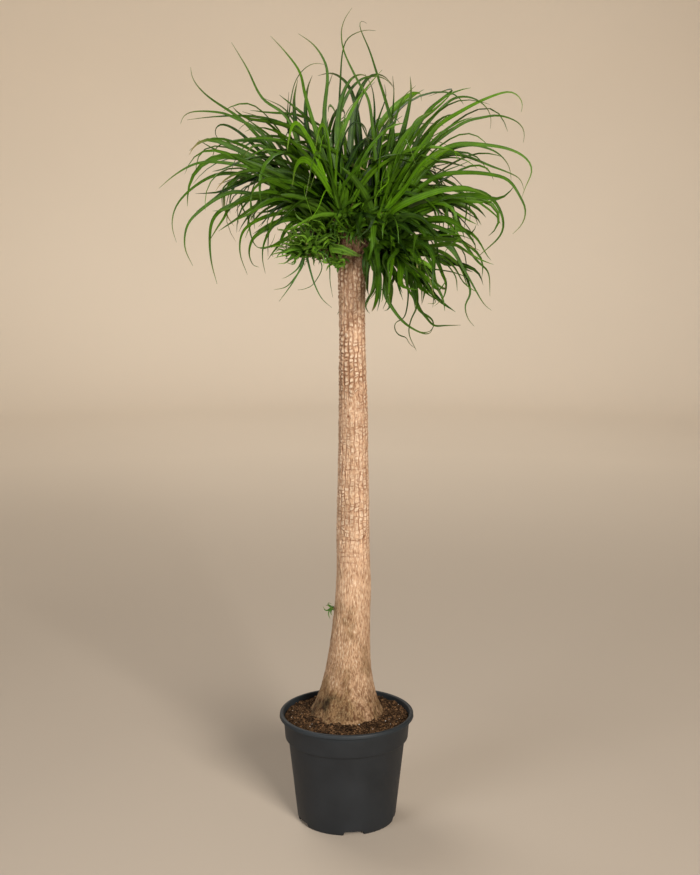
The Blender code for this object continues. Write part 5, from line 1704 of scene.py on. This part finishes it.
@dataclass
class Trunk:
    """The corky trunk: flared at the soil, leaning a little, cracked into plates, with branches at its top.

    Sunk is how far the flare runs on below the soil before it narrows to the foot, and the dome is how high
    the cap on its top is. A knot is its place round the stem from 0 to 1, its height and its size. The
    reliefs are how far each kind of roughness stands out.
    """

    foot_z: float = 0.165
    soil_z: float = 0.2455
    top_z: float = 1.322
    foot_radius: float = 0.060
    stem_radius: float = 0.0282
    taper: float = 0.0174
    taper_end_z: float = 1.115
    flare: float = 0.0415
    flare_fall: float = 0.075
    lean: float = 0.0150
    lean_start_z: float = 0.24
    lean_length: float = 0.33
    lean_back: float = 0.0045
    lean_back_start_z: float = 0.90
    lean_back_length: float = 0.40
    fork_z: float = 1.268
    split_z: float = 0.782
    sunk: float = 0.014
    dome: float = 0.008
    columns: int = 204
    rows: int = 470
    cork_end_z: float = 1.268
    fibre_relief: float = 0.0009
    lump_relief: float = 0.0010
    flutes: int = 9
    flute_relief: float = 0.0010
    flute_top_z: float = 0.42
    ring_depth: float = 0.0007
    ring_width: float = 0.0014
    ring_marks_z: tuple[float, ...] = (0.604, 0.618, 0.627, 0.656, 0.720, 0.815, 0.905)
    knot_depth: float = 0.0025
    knots: tuple[Vec, ...] = (
        (0.868, 0.662, 0.0034),
        (0.880, 0.674, 0.0022),
        (0.69, 0.93, 0.0024),
        (0.30, 0.80, 0.004),
    )
    moss_z: float = 0.285
    moss_height: float = 0.023
    moss_angle: float = math.radians(-150)
    moss_spread: float = math.radians(23)
    branch_columns: int = 28
    branch_scales: int = 58
    neck_scales: int = 190
    seed: int = 71
    plates: tuple[Plates, ...] = (
        Plates(17, 0.0100, 0.29, 1.0, -0.4, 0.65, 0.15, 0.0019, (0.84, 1.00), (2.0, 1.9), 301),
        Plates(21, 0.0088, 0.19, 0.85, 0.1, 0.35, 0.60, 0.0011, (0.56, 0.70), (1.02, 0.90), 302),
    )

    def radius(self, z: np.ndarray) -> np.ndarray:
        """The radius at a height: a stem that thickens evenly downwards, plus a flare that dies away up."""
        stem = self.stem_radius + self.taper * np.clip(self.taper_end_z - z, 0, None)
        return stem + self.flare * np.exp(-(z - self.soil_z) / self.flare_fall)

    def offset(self, z: np.ndarray) -> np.ndarray:
        """How far the middle stands to the right: over by a smooth step, and a little back near the top."""
        over = self.lean * smoothstep(z, self.lean_start_z, self.lean_start_z + self.lean_length)
        return over - self.lean_back * np.clip((z - self.lean_back_start_z) / self.lean_back_length, 0, 1)

    def build(self, finishes: Finishes) -> list[bpy.types.Object]:
        """Makes the stem in two lengths, its branches and the dry scales at their feet.

        Args:
            finishes: The materials.

        Returns:
            The objects.
        """
        above_soil = np.linspace(self.soil_z - self.sunk, self.split_z, self.rows)
        lower = self._stem(np.concatenate([[self.foot_z + 0.001, 0.20], above_soil]))
        upper = self._stem(np.linspace(self.split_z, self.top_z - self.dome, self.rows))
        made = [
            lower.piece("trunk_lower", finishes.bark, 75.0),
            upper.piece("trunk_upper", finishes.bark, 75.0),
            self._branches().piece("trunk_branches", finishes.neck_bark, 70.0),
            self._scales().surface().piece("trunk_scales", finishes.leaves[Hue.DRY], 60.0),
        ]
        for piece in made:
            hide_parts("trunk")
        return made

    def _stem(self, z: np.ndarray) -> Surface:
        """A length of the stem as rings about its leaning middle, with the bark's relief added to the radius.

        The relief is plates between cracks, upright fibres, broad lumps, a few ring marks and knots, and
        flutes near the soil.

        Args:
            z: The heights of the rings.

        Returns:
            The surface, with the values crack, plate, lip and stain. Crack and stain also hold painted shade,
            and lip holds the plates' painted highlights.
        """
        angle = np.linspace(0.0, math.tau, self.columns, endpoint=False)
        height, turn = z[:, None] + 0.0 * angle, angle / math.tau + 0.0 * z[:, None]
        radius = self.radius(np.maximum(height, self.soil_z - self.sunk))
        buried = smoothstep(height, self.soil_z - self.sunk, self.soil_z - 0.05)
        radius = radius - (radius - self.foot_radius) * buried
        around = np.stack([np.cos(angle) * radius, np.sin(angle) * radius, height], axis=-1)
        crack, lip, relief = np.zeros(height.shape), np.zeros(height.shape), np.zeros(height.shape)
        plate = np.full(height.shape, 0.4)
        worn = 0.45 + 0.55 * smoothstep(value_noise(around, (0.02, 0.02, 0.03), self.seed + 5), -0.6, 0.2)
        for plates in self.plates:
            shown = plates.shown(height) * worn
            new_crack, shade, new_highlight = plates.pattern(turn, height)
            crack = np.maximum(crack, new_crack * shown)
            # The lip value: the plates' painted highlights.
            lip = np.maximum(lip, new_highlight * shown)
            plate = plate + (shade - plate) * shown
            relief = relief + plates.relief * shown * (0.5 * shade + 0.35 * new_highlight - new_crack)
        fibres = layered_noise(around, (0.0032, 0.0032, 0.016), self.seed + 3, 2)
        lumps = value_noise(around, (0.03, 0.03, 0.06), self.seed + 4)
        rings, ring_shade = self._ring_marks(around)
        knots = self._knots(turn, height)
        relief = relief + self.fibre_relief * fibres + self.lump_relief * lumps
        relief = relief - self.ring_depth * rings - self.knot_depth * knots
        flutes = np.cos(self.flutes * angle + 2.0 * value_noise(around, 0.08, self.seed + 6))
        relief = relief + self.flute_relief * flutes * smoothstep(height, self.flute_top_z, self.soil_z)
        radius = radius + relief * smoothstep(height, self.soil_z - 0.02, self.soil_z)
        middle = self.offset(height)
        points = np.stack([np.cos(angle) * radius + middle, np.sin(angle) * radius, height], axis=-1)
        ends = z[[0, -1]] + np.array([-0.001, 0.0 if z[-1] == self.split_z else self.dome])
        ends = np.where(z[[0, -1]] == self.split_z, self.split_z, ends)
        skin, faces = closed_tube(points, np.column_stack([self.offset(ends), 0.0 * ends, ends]))
        foot = smoothstep(height, self.soil_z + 0.170, self.soil_z + 0.010)
        # Painted shade: dark crease lines near the foot, in the colour only.
        crease_shade = value_noise(around, (0.0026, 0.0026, 0.015), self.seed + 12)
        crease_shade = 0.9 * smoothstep(crease_shade, 0.12, 0.50) * foot
        # The crack value: cracks, knot pits and dark fibres, with painted shade in the cracks' soft edges, the
        # ring grooves and the foot's crease lines.
        dark = 0.9 * crack + ring_shade + knots + 0.3 * smoothstep(-fibres, 0.3, 0.8) + crease_shade
        dark = np.clip(dark, 0, 1)
        stain_and_shade = self._stains_and_shade(around, angle + 0.0 * height)
        stored = {"crack": dark, "plate": plate, "lip": lip * (1 - dark), "stain_and_shade": stain_and_shade}
        stored = {key: np.append(value.ravel(), [0, 0]) for key, value in stored.items()}
        return Surface(skin, faces, values=stored)

    def _ring_marks(self, around: np.ndarray) -> tuple[np.ndarray, np.ndarray]:
        """A few level grooves where growth paused, wavering in height and broken round the trunk.

        Args:
            around: Points on the stem.

        Returns:
            How deep each place lies in a groove, and the painted shade in it.
        """
        z = around[..., 2] + 0.0025 * value_noise(around, (0.02, 0.02, 0.2), self.seed + 7)
        away = (z[..., None] - np.array(self.ring_marks_z)) / self.ring_width
        depth = np.exp(-(away**2)).sum(axis=-1)
        broken = smoothstep(value_noise(around, (0.012, 0.012, 0.02), self.seed + 8), -0.1, 0.5)
        return depth * broken, 0.45 * depth * broken

    def _knots(self, turn: np.ndarray, height: np.ndarray) -> np.ndarray:
        """Small pits where side shoots broke off: round bells at a few places on the stem.

        Args:
            turn: Places round the trunk, from 0 to 1.
            height: Their heights.

        Returns:
            How deep each place lies in a pit.
        """
        total = np.zeros(turn.shape)
        for place, z, size in self.knots:
            sideways = (turn - place) * math.tau * self.radius(height)
            total += np.exp(-((sideways / size) ** 2) - ((height - z) / (1.25 * size)) ** 2)
        return total

    def _stains_and_shade(self, around: np.ndarray, angle: np.ndarray) -> np.ndarray:
        """Stains and painted shade: a tint that deepens downwards, painted shade on the left side, a blotched
        foot that darkens further just above the soil, and a dark neck.

        A mossy patch winds up the flare on its left, towards the front.

        Args:
            around: Points on the stem.
            angle: Their angles about it.

        Returns:
            How strong the stain and the painted shade are, from 0 to 1, and above 1 where it is mossy.
        """
        z = around[..., 2]
        soft = smoothstep(layered_noise(around, (0.028, 0.028, 0.045), self.seed + 9, 3), -0.15, 0.45)
        # Painted shade: the trunk's left side, away from the key light, is darkened, low down and all the way
        # up.
        left = smoothstep(np.cos(angle + math.radians(140)), 0.1, 0.95)
        low = smoothstep(z, 0.66, 0.27) * (0.49 + 0.42 * soft)
        low = low + 0.20 * soft * left * smoothstep(z, 0.42, 0.30)
        side = 0.36 * left * (0.4 + 0.6 * soft)
        neck = smoothstep(z, self.cork_end_z - 0.008, self.cork_end_z + 0.006)
        even = np.clip(low + side + 0.75 * neck, 0, 0.95)
        blotch = smoothstep(layered_noise(around, (0.016, 0.016, 0.024), self.seed + 14, 3), -0.20, 0.45)
        foot = smoothstep(z, self.soil_z + 0.085, self.soil_z) * (0.10 + 0.42 * blotch)
        damp = smoothstep(z, self.soil_z + 0.014, self.soil_z) * 0.30
        middle = self.moss_angle + (z - 0.268) / 0.030 * math.radians(25)
        aside = np.angle(np.exp(1j * (angle - middle))) / self.moss_spread
        patch = np.exp(-(((z - self.moss_z) / self.moss_height) ** 2) - aside**2)
        return even + foot + damp + patch * (0.80 + 0.75 * blotch)

    def arm(self, head: Head) -> np.ndarray:
        """The route of the branch that carries a head: from the fork, bending into the head's direction.

        Args:
            head: The head.

        Returns:
            Points as (station, xyz).
        """
        fork = np.array([float(self.offset(np.array(self.fork_z))), 0.0, self.fork_z])
        axis = unit(np.array(head.axis))
        tip = np.array(head.base) + axis * head.core_length * 0.5
        knee = np.array(head.base) - axis * 0.02
        t = np.linspace(0.0, 1.0, 22)[:, None]
        return (1 - t) ** 2 * fork + 2 * t * (1 - t) * knee + t**2 * tip

    def _branches(self) -> Surface:
        """Every branch as a tapered tube along its route, its skin roughened by noise.

        Returns:
            The surface, with the values crack, plate, lip and stain.
        """
        tubes = []
        angle = np.linspace(0.0, math.tau, self.branch_columns, endpoint=False)[None, :, None]
        for number, head in enumerate((*HEADS, *SHOOTS)):
            route = self.arm(head) if head in HEADS else self._stub(head)
            along, side, above = frames_along(route, np.array([[0.3, 0.2, 1.0]]))
            share = np.linspace(0.0, 1.0, len(route))[:, None, None]
            radius = head.core_radius * (0.70 - 0.12 * share + 0.15 * share**3)
            rings = side[:, None] * np.cos(angle) + above[:, None] * np.sin(angle)
            rough = layered_noise(route[:, None] + rings * 0.02, 0.006, self.seed + 20 + number, 3)[..., None]
            rings = route[:, None] + rings * radius * (1 + 0.12 * rough)
            poles = route[[0, -1]] + along[[0, -1]] * np.array([[-0.002], [0.002]])
            points, faces = closed_tube(rings, poles)
            crack = np.append(smoothstep(-rough, 0.0, 0.5).ravel(), [0.0, 0.0])
            plain = np.full(len(points), 0.3)
            stored = {"crack": crack, "plate": plain, "lip": 0.0 * plain, "stain_and_shade": 0.0 * plain}
            tubes.append(Surface(points, faces, values=stored))
        return Surface.joined(tubes)

    @staticmethod
    def _stub(head: Head) -> np.ndarray:
        """The short straight stub below a shoot on the trunk itself.

        Args:
            head: The shoot.

        Returns:
            Points as (station, xyz).
        """
        axis = unit(np.array(head.axis))
        reach = np.linspace(-0.014, head.core_length * 0.6, 14)[:, None]
        return np.array(head.base) + axis * reach

    def _scales(self) -> BladeSet:
        """Dry scales left by fallen leaves, close to the neck and the branches, pointing up and out.

        Returns:
            The scales.
        """
        rng = np.random.default_rng(self.seed + 30)
        shares = np.linspace(0.0, 1.0, 8)
        outward = shares[None, :, None]
        sets = []
        for head in HEADS:
            route = self.arm(head)
            along, side, above = frames_along(route, np.array([[0.3, 0.2, 1.0]]))
            count = self.branch_scales
            spot = rng.integers(3, len(route) - 2, count)
            turn = rng.uniform(0, math.tau, count)[:, None]
            radial = side[spot] * np.cos(turn) + above[spot] * np.sin(turn)
            start = route[spot] + radial * head.core_radius * 0.72
            reach = rng.uniform(0.016, 0.040, count)[:, None, None]
            out = rng.uniform(0.10, 0.55, count)[:, None, None]
            way = along[spot][:, None] + radial[:, None] * out * outward
            sets.append(self._scale_set(rng, start[:, None] + way * reach * outward, shares))
        count = self.neck_scales
        turn = rng.uniform(0, math.tau, count)[:, None]
        z = rng.uniform(1.256, 1.315, count)[:, None]
        radial = np.concatenate([np.cos(turn), np.sin(turn), 0.0 * turn], axis=1)
        start = np.concatenate([self.offset(z), 0.0 * z, z], axis=1) + radial * self.stem_radius * 0.99
        reach = rng.uniform(0.010, 0.030, count)[:, None, None]
        out = rng.uniform(0.02, 0.30, count)[:, None, None]
        way = np.array([0.0, 0.0, 1.0]) + radial[:, None] * out * outward
        sets.append(self._scale_set(rng, start[:, None] + way * reach * outward, shares))
        return BladeSet.joined(sets)

    @staticmethod
    def _scale_set(rng: np.random.Generator, routes: np.ndarray, shares: np.ndarray) -> BladeSet:
        """Scales along given routes, with drawn widths and tones.

        Args:
            rng: The random numbers.
            routes: Points as (scale, station, xyz).
            shares: The shares of the length at which the points lie.

        Returns:
            The scales.
        """
        count = len(routes)
        widths = rng.uniform(0.003, 0.0075, count)
        turns = rng.uniform(-0.3, 0.3, (count, 2))
        tones = rng.uniform(0.0, 0.9, count)
        return BladeSet(routes, widths, turns, tones, np.zeros(count), shares)


@dataclass(frozen=True)
class AreaLight:
    """A square area light: where it stands, the point that it faces, its side, its watts and its colour."""

    name: str
    place: Vec
    target: Vec
    side: float
    power: float
    colour: Colour
    spread: float = math.radians(80)

    def build(self) -> None:
        """Makes the light, tipped off straight down and turned so that it looks at its target."""
        light = bpy.data.lights.new(self.name, "AREA")
        light.shape = "SQUARE"
        light.size = self.side
        light.spread = self.spread
        light.energy = self.power
        light.color = self.colour
        holder = bpy.data.objects.new(self.name, light)
        x, y, z = np.array(self.target) - np.array(self.place)
        tip = math.acos(-z / math.dist(self.place, self.target))
        holder.location = self.place
        holder.rotation_euler = (tip, 0.0, math.atan2(y, x) - math.pi / 2)
        holder.visible_camera = False
        bpy.context.scene.collection.objects.link(holder)


LIGHTS = (
    AreaLight("key_light", (3.0, -6.5, 3.6), (0.0, 0.0, 1.0), 2.6, 151.0, (1.0, 0.95, 0.885)),
    AreaLight("fill_light", (-3.4, -3.4, 2.0), (0.0, 0.0, 1.0), 2.6, 28.0, (0.97, 0.98, 1.0)),
    AreaLight("back_light", (-1.2, 1.6, 2.8), (0.0, 0.0, 1.4), 2.0, 12.0, (1.0, 0.97, 0.92)),
    AreaLight("wall_light", (0.0, 1.0, 7.5), (0.0, 7.0, 0.5), 4.0, 74.0, (1.0, 0.97, 0.93)),
    AreaLight("near_wall_light", (0.0, -1.0, 7.5), (0.0, -7.0, 0.5), 4.0, 90.0, (1.0, 0.97, 0.93)),
)


@dataclass
class Studio:
    """The floor and backdrop, the air and the camera. The lens and sensor are in millimetres."""

    floor_colour: Colour = (0.500, 0.425, 0.345)
    wall_colour: Colour = (0.82, 0.71, 0.575)
    near_colour: Colour = (0.420, 0.365, 0.300)
    patch_colour: Colour = (0.43, 0.36, 0.29)
    sky_colour: Colour = (1.0, 0.96, 0.91)
    sky_strength: float = 0.13
    level: float = 6.0
    bend: float = 2.4
    wall_height: float = 8.0
    columns: int = 96
    lens: float = 58.0
    sensor: float = 36.0
    camera_place: Vec = (0.0077, -3.04, 1.415)
    camera_pitch: float = math.radians(80)

    def build(self) -> None:
        """Makes the stage, the air, the lights and the camera."""
        self._stage()
        world = bpy.data.worlds.new("studio_air")
        world.use_nodes = True
        background = world.node_tree.nodes["Background"]
        background.inputs["Color"].default_value = (*self.sky_colour, 1.0)
        background.inputs["Strength"].default_value = self.sky_strength
        bpy.context.scene.world = world
        bpy.context.scene.view_settings.view_transform = "Standard"
        for light in LIGHTS:
            light.build()
        camera = bpy.data.cameras.new("portrait_camera")
        camera.lens = self.lens
        camera.sensor_width = self.sensor
        camera.dof.use_dof = False
        holder = bpy.data.objects.new("portrait_camera", camera)
        holder.location = self.camera_place
        holder.rotation_euler = (self.camera_pitch, 0.0, 0.0)
        bpy.context.scene.collection.objects.link(holder)
        bpy.context.scene.camera = holder

    def _stage(self) -> None:
        """The pale floor, level and then curving up all round by a quarter circle into the backdrop."""
        angle = np.linspace(0.0, math.pi / 2, 24)
        curve = np.column_stack([self.level + self.bend * np.sin(angle), self.bend * (1 - np.cos(angle))])
        profile = np.vstack([[0.5, 0.0], curve, [self.level + self.bend, self.wall_height]])
        rings = turned_rings(profile, self.columns)
        quads = grid_quads(len(profile), self.columns, wrap=True)[:, ::-1].tolist()
        mesh = bpy.data.meshes.new("studio_floor")
        mesh.from_pydata(rings.reshape(-1, 3).tolist(), [], [*quads, list(range(self.columns))])
        mesh.shade_smooth()
        material, sheet = new_material("studio_paper")
        place = sheet.place()
        away = sheet.node("ShaderNodeVectorMath", {0: place}, operation="LENGTH").outputs["Value"]
        colour = sheet.layered(
            self.floor_colour,
            (sheet.spread(away, 0.8, 4.5), self.wall_colour),
            (sheet.spread(sheet.parts(place)["Y"], -0.5, -2.5), self.near_colour),
            (sheet.spread(sheet.noise(place, 0.6, 2.0), 0.3, 0.7, (0.0, 0.06)), self.patch_colour),
        )
        sheet.feed({"Base Color": colour, "Roughness": 0.85})
        mesh.materials.append(material)
        floor = bpy.data.objects.new("studio_floor", mesh)
        bpy.context.scene.collection.objects.link(floor)


def main() -> None:
    """Builds the studio and every part of the plant in order."""
    logging.basicConfig(level=logging.INFO, format="%(message)s")
    Studio().build()
    finishes = Finishes()
    NurseryPot().build(finishes)
    Soil().build(finishes)
    Trunk().build(finishes)
    Crown().build(finishes)


if __name__ == "__main__":
    main()
